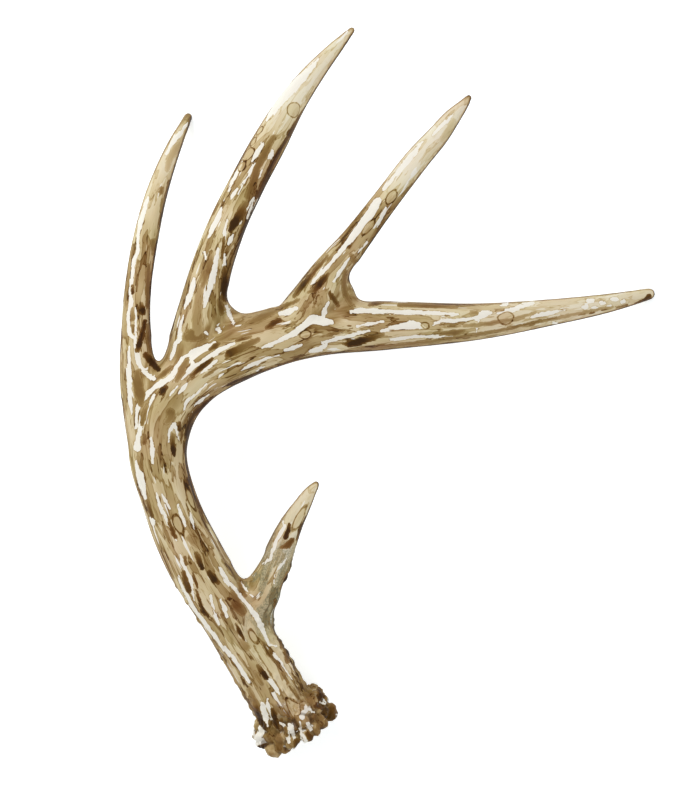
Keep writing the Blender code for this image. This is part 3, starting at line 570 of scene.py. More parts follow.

# The tone of the bone for each strength of its stain and painted shade.
STAIN_AND_SHADE_STOPS = (
    (0.0, "white"),
    (0.14, "cream"),
    (0.27, "ivory"),
    (0.44, "tan"),
    (0.6, "brown"),
    (0.78, "walnut"),
    (0.97, "umber"),
)

# Where two limbs meet, the grain turns from one to the other over this reach. Where their grain
# disagrees across by more than these distances, it runs round the fork's edge instead.
BLEND_REACH = 3.5
FORK_CLASH = (1.5, 6)
FINE_SPACING = 1
ROWS_AT_ONCE = 4000


def linear(colour):
    """A colour from its sRGB hex value, such as #E8E4D8."""
    parts = [int(colour[start : start + 2], 16) / 255 for start in (1, 3, 5)]
    return [part / 12.92 if part <= 0.04045 else ((part + 0.055) / 1.055) ** 2.4 for part in parts]


def millimetres(name, value, description):
    return bpy.props.FloatProperty(
        name=name, description=description, default=value * MM, min=0, unit="LENGTH"
    )


def paint(name, colour, description):
    return bpy.props.FloatVectorProperty(
        name=name, description=description, default=linear(colour), min=0, max=1, subtype="COLOR"
    )


class AntlerSizes(bpy.types.PropertyGroup):
    """The sizes of the skin's relief."""

    skin_grain: millimetres("Skin grain", 0.75, "Spacing of the skin's points")
    channel_depth: millimetres("Channel depth", 0.5, "Depth of the long shallow channels")
    wrinkle_depth: millimetres("Wrinkle depth", 0.2, "Depth of the fine wrinkles between them")
    crag_depth: millimetres("Crag depth", 1.1, "How craggy the burr's knobs are")
    crevice_depth: millimetres("Crevice depth", 1.6, "Depth of the clefts between the knobs")
    pearl_height: millimetres("Pearl height", 1.1, "Height of the pearls above the burr")


class AntlerColours(bpy.types.PropertyGroup):
    """The colours of the bone and of the paper."""

    white: paint("White", "#EFEBE1", "Bare slivers between the washes")
    cream: paint("Cream", "#E3D9BF", "The polished tips")
    ivory: paint("Ivory", "#D5C49D", "The lightest wash")
    tan: paint("Tan", "#B8A072", "The main wash")
    brown: paint("Brown", "#957848", "The second wash")
    walnut: paint("Walnut", "#6B4819", "The patches")
    umber: paint("Umber", "#3C2407", "The spots and the burr's knobs")
    lichen: paint("Lichen", "#7B775A", "The grey-green at the brow tine's base")
    paper: paint("Paper", "#F4F8FA", "The surface under the antler")


def distances_along(points):
    """How far each point of a line lies from its start."""
    steps = np.linalg.norm(np.diff(points, axis=0), axis=1)
    return np.concatenate([[0], np.cumsum(steps)])


def smooth_path(stations, spacing):
    """Rows of x, y, height and width along a smooth curve through the stations."""
    knots = np.array(stations, float)
    places = distances_along(knots[:, :3])
    slopes = np.gradient(knots, places, axis=0)
    wanted = np.linspace(0, places[-1], round(places[-1] / spacing) + 1)
    before = np.clip(np.searchsorted(places, wanted, side="right") - 1, 0, len(knots) - 2)
    span = (places[before + 1] - places[before])[:, None]
    t = (wanted - places[before])[:, None] / span
    return (
        (2 * t**3 - 3 * t**2 + 1) * knots[before]
        + (t**3 - 2 * t**2 + t) * span * slopes[before]
        + (3 * t**2 - 2 * t**3) * knots[before + 1]
        + (t**3 - t**2) * span * slopes[before + 1]
    )


def frame_at(path, index):
    """The limb's frame there: X to its side, Y to its top and Z along it, in metres."""
    ahead = path[min(index + 1, len(path) - 1), :3]
    behind = path[max(index - 1, 0), :3]
    along = Vector(ahead - behind).normalized()
    side = along.cross(Vector((0, 0, 1))).normalized()
    top = side.cross(along)
    made = Matrix((side, top, along)).transposed().to_4x4()
    made.translation = Vector(path[index, :3]) * MM
    return made


def frame_along(path, distance):
    """The limb's frame at a distance from its root, in millimetres, and its width there."""
    index = int(np.argmin(abs(distances_along(path[:, :3]) - distance)))
    return frame_at(path, index), path[index, 3]


def gutter(angle, place, share, phase):
    """How far the surface stands from round, as a share of the limb's radius."""
    where = Vector((math.cos(angle), math.sin(angle), 0)) * GUTTER_ROUND
    where.z = place / GUTTER_LENGTH + phase
    polish = min(1, (1 - share) / POLISHED_SHARE)
    return GUTTER_DEPTH * polish * noise.noise(where)


def set_ring(verts, previous, place, radius, relief):
    """Moves a ring of vertices from one frame to another, onto the limb's outline there."""
    for vert in verts:
        local = previous.inverted() @ vert.co
        angle = math.atan2(local.y / FLATNESS, local.x)
        reach = radius * (1 + relief(angle))
        outline = Vector((math.cos(angle), math.sin(angle) * FLATNESS, 0)) * reach
        vert.co = place @ outline


def grow_limb(bm, stations, phase):
    """Adds one closed limb, extruded ring by ring from its root, and returns its path."""
    path = smooth_path(stations, RING_SPACING)
    place = frame_at(path, 0)
    made = bmesh.ops.create_circle(
        bm, cap_ends=True, segments=RING_SIDES, radius=MM, matrix=place
    )
    ring = made["verts"]
    edges = list({edge for vert in ring for edge in vert.link_edges})
    for index in range(len(path)):
        if index:
            made = bmesh.ops.extrude_edge_only(bm, edges=edges)["geom"]
            ring = [item for item in made if isinstance(item, bmesh.types.BMVert)]
            ends = set(ring)
            edges = [
                item
                for item in made
                if isinstance(item, bmesh.types.BMEdge) and ends.issuperset(item.verts)
            ]
        previous, place = place, frame_at(path, index)
        share = index / (len(path) - 1)

        def relief(angle, distance=index * RING_SPACING, share=share):
            return gutter(angle, distance, share, phase)

        set_ring(ring, previous, place, path[index, 3] / 2 * MM, relief)
    bmesh.ops.contextual_create(bm, geom=edges)
    add_ball(bm, place.translation, path[-1, 3] / 2 * TIP_SHARE)
    return path


def add_ball(bm, centre, radius, turned=None, squash=1):
    """Adds a knob: a ball of a radius in millimetres, squashed along its frame's Z."""
    turn = turned.to_3x3().to_4x4() if turned else Matrix.Identity(4)
    size = Matrix.Diagonal((1, 1, squash, 1))
    place = Matrix.Translation(centre) @ turn @ size
    bmesh.ops.create_icosphere(bm, subdivisions=3, radius=radius * MM, matrix=place)


def on_ring(path, place, angle, distance):
    """A point beside the limb: its place along it, the angle round it and the distance out."""
    ring, _ = frame_along(path, place)
    turn = math.radians(angle)
    return ring @ (Vector((math.cos(turn), math.sin(turn), 0)) * distance * MM)


def add_burr(bm, path, chance):
    """Adds the coronet of knobs, the two that the antler stands on, and the broken-off face.

    It returns the knobs' middles, in millimetres.
    """
    middles = []
    for place, distance, radius, count, (start, end) in BURR_ROWS:
        for index in range(count):
            angle = start + (end - start) * (index + chance.uniform(-KNOB_TURN, KNOB_TURN)) / count
            centre = on_ring(
                path,
                place + chance.uniform(-KNOB_JITTER, KNOB_JITTER),
                angle,
                distance + chance.uniform(-KNOB_JITTER, KNOB_JITTER),
            )
            add_ball(bm, centre, radius * chance.uniform(*KNOB_SIZES))
            middles.append(centre / MM)
    for angle, distance, radius in FEET:
        centre = on_ring(path, FOOT_PLACE, angle, distance)
        add_ball(bm, centre, radius)
        middles.append(centre / MM)
    root = frame_at(path, 0)
    add_ball(bm, root.translation, SEAL_RADIUS, root, SEAL_BULGE / SEAL_RADIUS)
    return np.array(middles)


def smooth(bm, verts, times):
    for _ in range(times):
        bmesh.ops.smooth_vert(
            bm, verts=verts, factor=0.5, use_axis_x=True, use_axis_y=True, use_axis_z=True
        )


def object_from(name, bm):
    mesh = bpy.data.meshes.new(name)
    bm.to_mesh(mesh)
    bm.free()
    made = bpy.data.objects.new(name, mesh)
    bpy.context.scene.collection.objects.link(made)
    return made


def remeshed(loose, grain):
    """One closed skin round everything in the loose object, which is removed."""
    modifier = loose.modifiers.new("Skin", "REMESH")
    modifier.mode = "VOXEL"
    modifier.voxel_size = grain
    skin = bmesh.new()
    skin.from_object(loose, bpy.context.evaluated_depsgraph_get())
    bpy.data.objects.remove(loose)
    return skin


def fused_skin(grain):
    """All limbs and knobs as one closed skin, with the limbs' paths and the knobs' middles."""
    chance = random.Random(SEED)
    bm = bmesh.new()
    paths = {
        name: grow_limb(bm, stations, phase * PHASE_STEP)
        for phase, (name, stations) in enumerate(LIMBS.items())
    }
    for x, y, height, radius in WEBS:
        add_ball(bm, Vector((x, y, height)) * MM, radius)
    knobs = add_burr(bm, paths["beam"], chance)
    bmesh.ops.recalc_face_normals(bm, faces=bm.faces)
    form = remeshed(object_from("loose", bm), FORM_GRAIN * MM)
    smooth(form, form.verts, FORM_SMOOTHING)
    for x, y, height, reach in FORKS:
        middle = Vector((x, y, height)) * MM
        near = [vert for vert in form.verts if (vert.co - middle).length < reach * MM]
        smooth(form, near, FORK_SMOOTHING)
    skin = remeshed(object_from("form", form), grain)
    smooth(skin, skin.verts, SKIN_SMOOTHING)
    return skin, paths, knobs


def ramp(value, start, end):
    """0 at start and 1 at end, eased between them."""
    share = np.clip((value - start) / (end - start), 0, 1)
    return share * share * (3 - 2 * share)


class Limb:
    """A limb's middle line, sampled finely, for finding where points stand along and round it."""

    def __init__(self, stations):
        rows = smooth_path(stations, FINE_SPACING)
        self.centres = rows[:, :3]
        self.radii = rows[:, 3] / 2
        self.along = np.gradient(self.centres, axis=0)
        self.along /= np.linalg.norm(self.along, axis=1)[:, None]
        self.side = np.cross(self.along, (0, 0, 1))
        self.side /= np.linalg.norm(self.side, axis=1)[:, None]
        self.top = np.cross(self.side, self.along)
        self.places = distances_along(self.centres)
        self.offset = np.zeros(3)

    def nearest(self, points):
        """The index of the sample nearest each point."""
        found = np.empty(len(points), int)
        squares = (self.centres**2).sum(1)
        for start in range(0, len(points), ROWS_AT_ONCE):
            rows = points[start : start + ROWS_AT_ONCE]
            found[start : start + ROWS_AT_ONCE] = (squares - 2 * rows @ self.centres.T).argmin(1)
        return found

    def stand(self, points):
        """Each point's grain coordinates, its distance out of the limb and from its tip, and
        the limb's radius there."""
        index = self.nearest(points)
        away = points - self.centres[index]
        place = self.places[index] + (away * self.along[index]).sum(1)
        grain = np.stack(
            [place, (away * self.side[index]).sum(1), (away * self.top[index]).sum(1)], axis=1
        )
        radii = self.radii[index]
        outside = np.linalg.norm(away, axis=1) - radii
        return grain + self.offset, outside, self.places[-1] - place, radii


def limb_lines():
    """The limbs' middle lines, each tine's grain carried on from the beam's at its root."""
    limbs = {name: Limb(stations) for name, stations in LIMBS.items()}
    beam = limbs["beam"]
    for name, limb in limbs.items():
        if name != "beam":
            limb.offset = beam.stand(limb.centres[:1])[0][0]
    return limbs


def noise_at(points, sizes, seed=0.0):
    """Smooth noise from -1 to 1 at the points, for waves of these sizes along each axis."""
    scaled = points / np.array(sizes, float) + seed
    return np.array([noise.noise(point) for point in scaled.tolist()])


class Skin:
    """What is known about each point of the skin, in millimetres and in shares."""

    def __init__(self, points, normals, knobs):
        self.points = points
        self.normals = normals
        self.above = ramp(normals[:, 2], *ABOVE)
        limbs = limb_lines()
        stands = {name: limb.stand(points) for name, limb in limbs.items()}
        outside = np.stack([stand[1] for stand in stands.values()])
        weights = np.exp(-(outside - outside.min(0)) / BLEND_REACH)
        weights /= weights.sum(0)
        grains = np.stack([stand[0] for stand in stands.values()])
        self.grain = (weights[:, :, None] * grains).sum(0)
        across = abs(grains[:, :, 1] - self.grain[None, :, 1])
        self.fork = ramp((weights * across).sum(0), *FORK_CLASH)
        self.bend = self.grain.copy()
        self.bend[:, 1] = (weights * abs(grains[:, :, 1])).sum(0)
        pale = np.stack(
            [ramp(stands[name][2], *reach) for name, reach in PALE_TIPS.items()]
        )
        self.pale = (weights * pale).sum(0)
        self.radius = (weights * np.stack([stand[3] for stand in stands.values()])).sum(0)
        self.on_brow = weights[list(LIMBS).index("brow_tine")]
        self.place = self.grain[:, 0]
        self.burr = 1 - ramp(self.place, *BURR_END)
        self.seal = self.broken_face(limbs["beam"])
        self.crevice, self.knob = self.between(knobs)

    def broken_face(self, beam):
        """1 on the face that broke off the skull, inside the ring of knobs."""
        away = self.points - beam.centres[0]
        along = away @ beam.along[0]
        across = np.linalg.norm(away - along[:, None] * beam.along[0], axis=1)
        return (1 - ramp(across, *SEAL_EDGE)) * (1 - ramp(along, 0, SEAL_HEIGHT))

    def between(self, knobs):
        """How near each point of the burr lies to a crevice, and its nearest knob's own tone."""
        crevice, knob = np.zeros(len(self.points)), np.zeros(len(self.points))
        tones = np.random.default_rng(SEED).uniform(0, 1, len(knobs))
        near = np.flatnonzero(self.burr > 0)
        away = np.linalg.norm(self.points[near, None] - knobs[None], axis=2)
        two = np.sort(away, axis=1)[:, :2]
        crevice[near] = 1 - ramp(two[:, 1] - two[:, 0], 0, CREVICE_REACH)
        crevice *= self.burr * (1 - self.seal)
        knob[near] = tones[away.argmin(1)]
        return crevice, knob

    def nearest_above(self, x, y):
        """The grain coordinates of the point on the upper side there."""
        apart = (self.points[:, 0] - x) ** 2 + (self.points[:, 1] - y) ** 2
        hidden = np.where(self.normals[:, 2] > WELL_ABOVE, 0, OUT_OF_THE_WAY)
        return self.grain[np.argmin(apart + hidden)]


def pearl_relief(skin):
    """Small beads of bone, thick above the burr and thinning out past the brow tine."""
    chance = np.random.default_rng(SEED)
    likely = (1 - ramp(skin.place, *PEARL_END)) * (skin.place > PEARL_START) * (1 - skin.pale)
    likely = likely * (0.35 + ramp(skin.grain[:, 1], *PEARL_SIDE))
    chosen = chance.choice(len(likely), PEARL_COUNT, replace=False, p=likely / likely.sum())
    tree = kdtree.KDTree(len(skin.points))
    for index, point in enumerate(skin.points):
        tree.insert(point, index)
    tree.balance()
    relief = np.zeros(len(skin.points))
    for index in chosen:
        radius = chance.uniform(*PEARL_RADII)
        length = radius * PEARL_STRETCH
        found = [entry[1] for entry in tree.find_range(skin.points[index], length)]
        away = (skin.grain[found] - skin.grain[index]) / (length, radius, radius)
        bump = np.clip(1 - (away**2).sum(1), 0, 1) * radius / PEARL_RADII[1]
        relief[found] = np.maximum(relief[found], bump)
    return relief


def relief_of(skin, sizes):
    """How far each point stands out, in millimetres, and how deep it lies in a hollow."""
    rough = (1 - POLISHED * skin.pale) * (1 - FORK_POLISHED * skin.fork)
    channels = noise_at(skin.grain, CHANNELS, 3) * rough
    ridges = noise_at(skin.grain, RIDGES, 11) * rough
    wrinkles = noise_at(skin.grain, WRINKLES, 17) * rough
    crags = noise_at(skin.points, CRAGS) + 0.5 * noise_at(skin.points, GRIT, 5)
    relief = SHRUNK / skin.radius + channels * sizes.channel_depth / MM
    relief += (0.6 * ridges + 0.4 * wrinkles) * sizes.wrinkle_depth / MM
    relief += crags * skin.burr * (1 - 0.6 * skin.seal) * sizes.crag_depth / MM
    relief -= skin.crevice * sizes.crevice_depth / MM
    pearls = pearl_relief(skin)
    relief += pearls * sizes.pearl_height / MM
    by_channel, by_ridge, by_pearl = HOLLOW_SHARES
    hollow = 0.5 - by_channel * channels - by_ridge * ridges - by_pearl * pearls
    return relief, np.clip(hollow, 0, 1)


def share_inside(depth):
    """From 0 to 1 over the marks' reach, for a depth in millimetres inside a mark's edge."""
    return np.clip(EDGE + depth / (2 * MARK_REACH), 0, 1)


def strokes_on(skin, strokes):
    """How far inside the strokes each point of the upper side lies, and the last of the values
    that each stroke gives along its run."""
    inside = np.zeros(len(skin.points))
    last = np.zeros(len(skin.points))
    flat = skin.points[:, :2]
    for stroke in strokes:
        rows = np.array(stroke, float)
        room = rows[:, 2].max() + 2 * MARK_REACH
        within = (flat > rows[:, :2].min(0) - room) & (flat < rows[:, :2].max(0) + room)
        near = np.flatnonzero(within.all(1) & (skin.above > 0))
        for start, end in zip(rows, rows[1:]):
            run = end[:2] - start[:2]
            share = np.clip(((flat[near] - start[:2]) @ run) / (run @ run), 0, 1)[:, None]
            here = start + share * (end - start)
            apart = np.linalg.norm(flat[near] - here[:, :2], axis=1)
            found = skin.above[near] * share_inside(here[:, 2] - apart)
            better = found > inside[near]
            inside[near[better]] = found[better]
            last[near[better]] = here[better, -1]
    return inside, last


def ovals_on(skin):
    """How far inside the dried ovals each point of the upper side lies."""
    inside = np.zeros(len(skin.points))
    for x, y, length, width in DRIED_OVALS:
        away = (skin.grain - skin.nearest_above(x, y)) / (length, width, width)
        beside = np.hypot(skin.points[:, 0] - x, skin.points[:, 1] - y) < 2 * length
        depth = np.where(beside, 1 - np.linalg.norm(away, axis=1), -1) * width
        inside = np.maximum(inside, skin.above * share_inside(depth))
    return inside


def marks_of(skin, hollow):
    """The values that the bone's material reads, each from 0 to 1."""
    side = skin.normals @ np.array(SHADED_SIDE)
    rise = skin.radius * (1 - np.sqrt(np.clip(1 - skin.normals[:, 2] ** 2, 0, 1)))
    on_brow = np.clip(skin.on_brow * BROW_SPREAD, 0, 1) * (1 - skin.pale**2)
    sliver, _ = strokes_on(skin, SLIVERS)
    wash, strength = strokes_on(skin, WASHES)
    return {
        "pale": skin.pale,
        "fork": skin.fork,
        "burr": skin.burr,
        "hollow": hollow,
        # Painted shade: how far each point turns to the side away from the light.
        "shade": ramp(side, *SHADE),
        "above": skin.above,
        # Painted shade: a dark outline, 1 at the edge that is seen from above.
        "edge": 1 - ramp(rise, *OUTLINE),
        "sliver": sliver,
        "wash": wash,
        "strength": strength,
        "oval": ovals_on(skin),
        "lichen": on_brow * (1 - skin.burr),
        "knob": skin.knob,
        "crevice": skin.crevice,
        "seal": skin.seal,
    }


def read_vectors(collection, key):
    values = np.empty(len(collection) * 3)
    collection.foreach_get(key, values)
    return values.reshape(-1, 3)


def dress_skin(mesh, sizes, knobs):
    """Gives the skin its relief and stores its grain, normals and marks on its points."""
    points = read_vectors(mesh.vertices, "co") / MM
    normals = read_vectors(mesh.vertices, "normal")
    skin = Skin(points, normals, knobs)
    relief, hollow = relief_of(skin, sizes)
    points = points + normals * relief[:, None]
    points[:, 2] = np.maximum(points[:, 2], 0)
    mesh.vertices.foreach_set("co", (points * MM).ravel())
    mesh.update()
    outward = read_vectors(mesh.vertices, "normal")
    kept = {"grain": skin.grain * MM, "bend": skin.bend * MM, "outward": outward}
    for name, values in kept.items():
        vectors = mesh.attributes.new(name, "FLOAT_VECTOR", "POINT")
        vectors.data.foreach_set("vector", values.ravel())
    for name, values in marks_of(skin, hollow).items():
        mark = mesh.attributes.new(name, "FLOAT", "POINT")
        mark.data.foreach_set("value", values)


def cut_across(bm, place, reach):
    """Parts the skin across one limb and closes both ends with flat caps."""
    middle, along = place.translation, place.col[2].xyz
    near = [face for face in bm.faces if (face.calc_center_median() - middle).length < reach]
    geometry = list({item for face in near for item in (*face.verts, *face.edges, face)})
    made = bmesh.ops.bisect_plane(bm, geom=geometry, plane_co=middle, plane_no=along)
    rim = [item for item in made["geom_cut"] if isinstance(item, bmesh.types.BMEdge)]
    bmesh.ops.split_edges(bm, edges=rim)
    rims = [edge for edge in bm.edges if edge.is_boundary]
    bmesh.ops.holes_fill(bm, edges=rims, sides=0)


def island_of(bm, point):
    """The vertices joined to the one nearest a point."""
    seed = min(bm.verts, key=lambda vert: (vert.co - point).length_squared)
    found, front = {seed}, [seed]
    while front:
        vert = front.pop()
        for edge in vert.link_edges:
            other = edge.other_vert(vert)
            if other not in found:
                found.add(other)
                front.append(other)
    return found


def whole_normals(mesh):
    """Gives every corner the whole skin's normal, so that no cut shows, and caps their own."""
    outward = read_vectors(mesh.attributes["outward"].data, "vector")
    outward /= np.linalg.norm(outward, axis=1)[:, None]
    corners = np.empty(len(mesh.loops), int)
    mesh.loops.foreach_get("vertex_index", corners)
    normals = outward[corners]
    for face in mesh.polygons:
        if len(face.vertices) > MOST_SIDES:
            normals[list(face.loop_indices)] = face.normal
    mesh.normals_split_custom_set(normals.tolist())
    mesh.attributes.remove(mesh.attributes["outward"])


def part_off(whole, node, inside, material):
    """One sub-part of the whole skin, in place of the CAD node of that name."""
    bm = bmesh.new()
    bm.from_mesh(whole.data)
    kept = island_of(bm, inside)
    rest = [vert for vert in bm.verts if vert not in kept]
    bmesh.ops.delete(bm, geom=rest, context="VERTS")
    piece = object_from(f"{node}_skin", bm)
    piece.data.shade_smooth()
    whole_normals(piece.data)
    piece.data.materials.append(material)
    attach(piece, "root")
    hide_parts(node)
    return piece


def add_node(tree, kind, inputs=None, out=0, **settings):
    """Adds a node, gives it its settings, links or sets its inputs, and returns one output.

    Where inputs share a name, their numbers are used: a Math node's values are 0, 1 and 2, a
    MapRange node's value is 0, its old range 1 and 2 and its new range 3 and 4, and a Mix node's
    share is 0 and its ends 2 and 3, or 6 and 7 for colours.
    """
    made = tree.nodes.new(f"ShaderNode{kind}")
    for name, value in settings.items():
        setattr(made, name, value)
    for key, value in (inputs or {}).items():
        if isinstance(value, bpy.types.NodeSocket):
            tree.links.new(value, made.inputs[key])
        else:
            made.inputs[key].default_value = value
    return made.outputs[out]


def new_material(name):
    material = bpy.data.materials.new(name)
    material.use_nodes = True
    return material, material.node_tree, material.node_tree.nodes["Principled BSDF"]


def set_stops(colour, stops, tones):
    """Sets the stops of the ramp that gives this colour, from pairs of place and tone's name."""
    elements = colour.node.color_ramp.elements
    while len(elements) < len(stops):
        elements.new(0.5)
    for element, (place, name) in zip(elements, stops):
        element.position = place
        element.color = tones[name]


def streaks(tree, lines, size, start=0.0, **waves):
    """Noise in waves of this length along the lines and this width across them, in mm."""
    along, across = (1 / (part * MM) for part in size)
    inputs = {"Vector": lines, "Location": (start, 0, 0), "Scale": (along, across, across)}
    place = add_node(tree, "Mapping", inputs)
    return add_node(tree, "TexNoise", {"Vector": place, "Scale": 1.0, **waves})


def wash_over(tree, under, tone, edge, strength, rim):
    """Darkens what is under it where the tone is above its edge, and most along a thin rim."""
    add = partial(add_node, tree)
    inside = add("MapRange", {0: tone, 1: edge, 2: edge + 0.012}, **EASED)
    middle = add("MapRange", {0: tone, 1: edge + 0.02, 2: edge + 0.05}, **EASED)
    border = add("Math", {0: inside, 1: middle}, operation="SUBTRACT")
    under = add("Math", {0: inside, 1: strength, 2: under}, operation="MULTIPLY_ADD")
    return add("Math", {0: border, 1: rim, 2: under}, operation="MULTIPLY_ADD")


def line_where(tree, tone, widths, strength):
    """A line where the tone crosses 0.5, which fades between these two distances from it."""
    inner, outer = widths
    apart = add_node(tree, "Math", {0: tone, 1: EDGE}, operation="SUBTRACT")
    apart = add_node(tree, "Math", {0: apart}, operation="ABSOLUTE")
    return add_node(tree, "MapRange", {0: apart, 1: inner, 2: outer, 3: strength, 4: 0.0}, **EASED)


def ragged_edge(tree, mark, reach, *waves, **more):
    """A mark whose edge wanders by this reach to either side, with streaks along the grain."""
    sway = streaks(tree, *waves, **more)
    sway = add_node(tree, "MapRange", {0: sway, 3: -reach, 4: reach})
    return add_node(tree, "Math", {0: mark, 1: sway}, operation="ADD")


def grown_stain_and_painted_shade(tree, grain, bend, marks):
    """The stain of the antler's every side: clouds, washes, patches, dabs and fine lines, with painted
    shade on the side away from the light and a painted dark outline along the sides.
    """
    add = partial(add_node, tree)
    soft = streaks(tree, grain, (30, 12), Detail=2.0)
    stain_and_shade = add("Math", {0: soft, 1: 0.42, 2: 0.1}, operation="MULTIPLY_ADD")
    # The washes fall a little more on the side away from the light: painted shade.
    washes = streaks(tree, grain, (50, 8), Detail=3.0, Distortion=0.4)
    washes = add("Math", {0: marks["shade"], 1: 0.05, 2: washes}, operation="MULTIPLY_ADD")
    stain_and_shade = wash_over(tree, stain_and_shade, washes, 0.5, 0.17, 0.12)
    # The patches too fall a little more on the side away from the light: painted shade.
    patches = streaks(tree, grain, (26, 4.6), 3.1, Detail=3.0, Distortion=0.3)
    patches = add("Math", {0: marks["shade"], 1: 0.06, 2: patches}, operation="MULTIPLY_ADD")
    stain_and_shade = wash_over(tree, stain_and_shade, patches, 0.57, 0.2, 0.14)
    dabs = streaks(tree, grain, (16, 3.2), 7.7, Detail=2.0, Distortion=0.2)
    dabs = add("Math", {0: marks["above"], 1: -0.05, 2: dabs}, operation="MULTIPLY_ADD")
    whole = add("MapRange", {0: dabs, 1: 0.65, 2: 0.665, 4: 0.4}, **EASED)
    depth = add("MapRange", {0: dabs, 1: 0.59, 2: 0.76}, **EASED)
    stain_and_shade = add("Math", {0: whole, 1: depth, 2: stain_and_shade}, operation="MULTIPLY_ADD")
    drawn = streaks(tree, grain, (44, 3.4), 9.1, Detail=2.0)
    drawn = line_where(tree, drawn, (0.003, 0.012), 0.13)
    stain_and_shade = add("Math", {0: stain_and_shade, 1: drawn}, operation="ADD")

    # Painted shade: dark patches and a soft darkening on the side away from the light.
    side = streaks(tree, grain, (22, 5), 1.3, Detail=2.0)
    side = add("Math", {0: side, 1: 0.7, 2: marks["shade"]}, operation="MULTIPLY_ADD")
    side = add("MapRange", {0: side, 1: 0.95, 2: 1.03, 4: 0.12}, **EASED)
    stain_and_shade = add("Math", {0: stain_and_shade, 1: side}, operation="ADD")
    turned = add("Math", {0: marks["shade"], 1: 2.0}, operation="POWER")
    stain_and_shade = add("Math", {0: turned, 1: 0.06, 2: stain_and_shade}, operation="MULTIPLY_ADD")
    hollow = add("MapRange", {0: marks["hollow"], 3: -0.05, 4: 0.05})
    stain_and_shade = add("Math", {0: stain_and_shade, 1: hollow}, operation="ADD")

    fork = streaks(tree, bend, (40, 4.5), 2.2, Detail=3.0)
    fork = add("Math", {0: fork, 1: 0.9, 2: 0.07}, operation="MULTIPLY_ADD")
    stain_and_shade = add("Mix", {0: marks["fork"], 2: stain_and_shade, 3: fork})
    kept = add("MapRange", {0: marks["pale"], 3: 1.0, 4: 0.42})
    stain_and_shade = add("Math", {0: stain_and_shade, 1: kept}, operation="MULTIPLY")
    # Painted shade: a dark outline along the sides, deeper towards the pale tips and deepest on the
    # side away from the light.
    turned = add("Math", {0: marks["shade"], 1: marks["edge"]}, operation="MULTIPLY")
    depth = add("MapRange", {0: marks["pale"], 3: 0.2, 4: 0.48})
    outline = add("Math", {0: marks["edge"], 1: depth, 2: stain_and_shade}, operation="MULTIPLY_ADD")
    return add("Math", {0: turned, 1: 0.22, 2: outline}, operation="MULTIPLY_ADD")


def laid_marks(tree, stain_and_shade, grain, marks):
    """Lays the slivers, the ovals and the placed washes on the stain and painted shade, all with ragged
    edges.

    It returns the new stain and painted shade, and where a placed sliver, oval or wash covers what is
    under it.
    """
    add = partial(add_node, tree)
    bare = streaks(tree, grain, (34, 3.2), 5.3, Detail=2.0, Distortion=0.3)
    bare = add("Math", {0: marks["above"], 1: -0.05, 2: bare}, operation="MULTIPLY_ADD")
    bare = add("MapRange", {0: bare, 1: 0.622, 2: 0.635}, **EASED)
    ragged = streaks(tree, grain, (5, 1.3), Detail=3.0, Roughness=0.6)
    ragged = add("MapRange", {0: ragged, 3: -0.45, 4: 0.45})
    placed = add("Math", {0: marks["sliver"], 1: ragged}, operation="ADD")
    placed = ragged_edge(tree, placed, 0.4, grain, (9, 2.4), 4.4, Detail=2.0)
    rim = add("MapRange", {0: placed, 1: 0.3, 2: 0.44, 4: 0.14}, **EASED)
    stain_and_shade = add("Math", {0: stain_and_shade, 1: rim}, operation="ADD")
    placed = add("MapRange", {0: placed, 1: 0.47, 2: 0.53}, **EASED)
    bare = add("Math", {0: bare, 1: placed}, operation="MAXIMUM")
    stain_and_shade = add("Mix", {0: bare, 2: stain_and_shade, 3: 0.02})

    oval = ragged_edge(tree, marks["oval"], 0.5, grain, (13, 5), 6.1, Detail=2.0)
    filled = add("MapRange", {0: oval, 1: 0.45, 2: 0.55, 4: 0.6}, **EASED)
    stain_and_shade = add("Mix", {0: filled, 2: stain_and_shade, 3: 0.33})
    rim = line_where(tree, oval, (0.09, 0.2), 0.5)
    uneven = add("MapRange", {0: ragged, 1: -0.2, 2: 0.15, 3: 0.25, 4: 1.0})
    stain_and_shade = add("Math", {0: rim, 1: uneven, 2: stain_and_shade}, operation="MULTIPLY_ADD")

    wash = add("Math", {0: marks["wash"], 1: ragged}, operation="ADD")
    over = add("MapRange", {0: wash, 1: 0.45, 2: 0.53}, **EASED)
    depth = add("MapRange", {0: wash, 1: 0.45, 2: 0.95, 3: 0.84, 4: 1.06}, **EASED)
    depth = add("Math", {0: depth, 1: marks["strength"]}, operation="MULTIPLY")
    depth = add("Math", {0: depth, 1: over}, operation="MULTIPLY")
    stain_and_shade = add("Math", {0: stain_and_shade, 1: depth}, operation="MAXIMUM")
    rim = line_where(tree, wash, (0.04, 0.1), 0.2)
    stain_and_shade = add("Math", {0: rim, 1: marks["strength"], 2: stain_and_shade}, operation="MULTIPLY_ADD")
    covered = add("Math", {0: placed, 1: over}, operation="MAXIMUM")
    ringed = add("MapRange", {0: oval, 1: 0.3, 2: 0.4}, **EASED)
    return stain_and_shade, add("Math", {0: covered, 1: ringed}, operation="MAXIMUM")


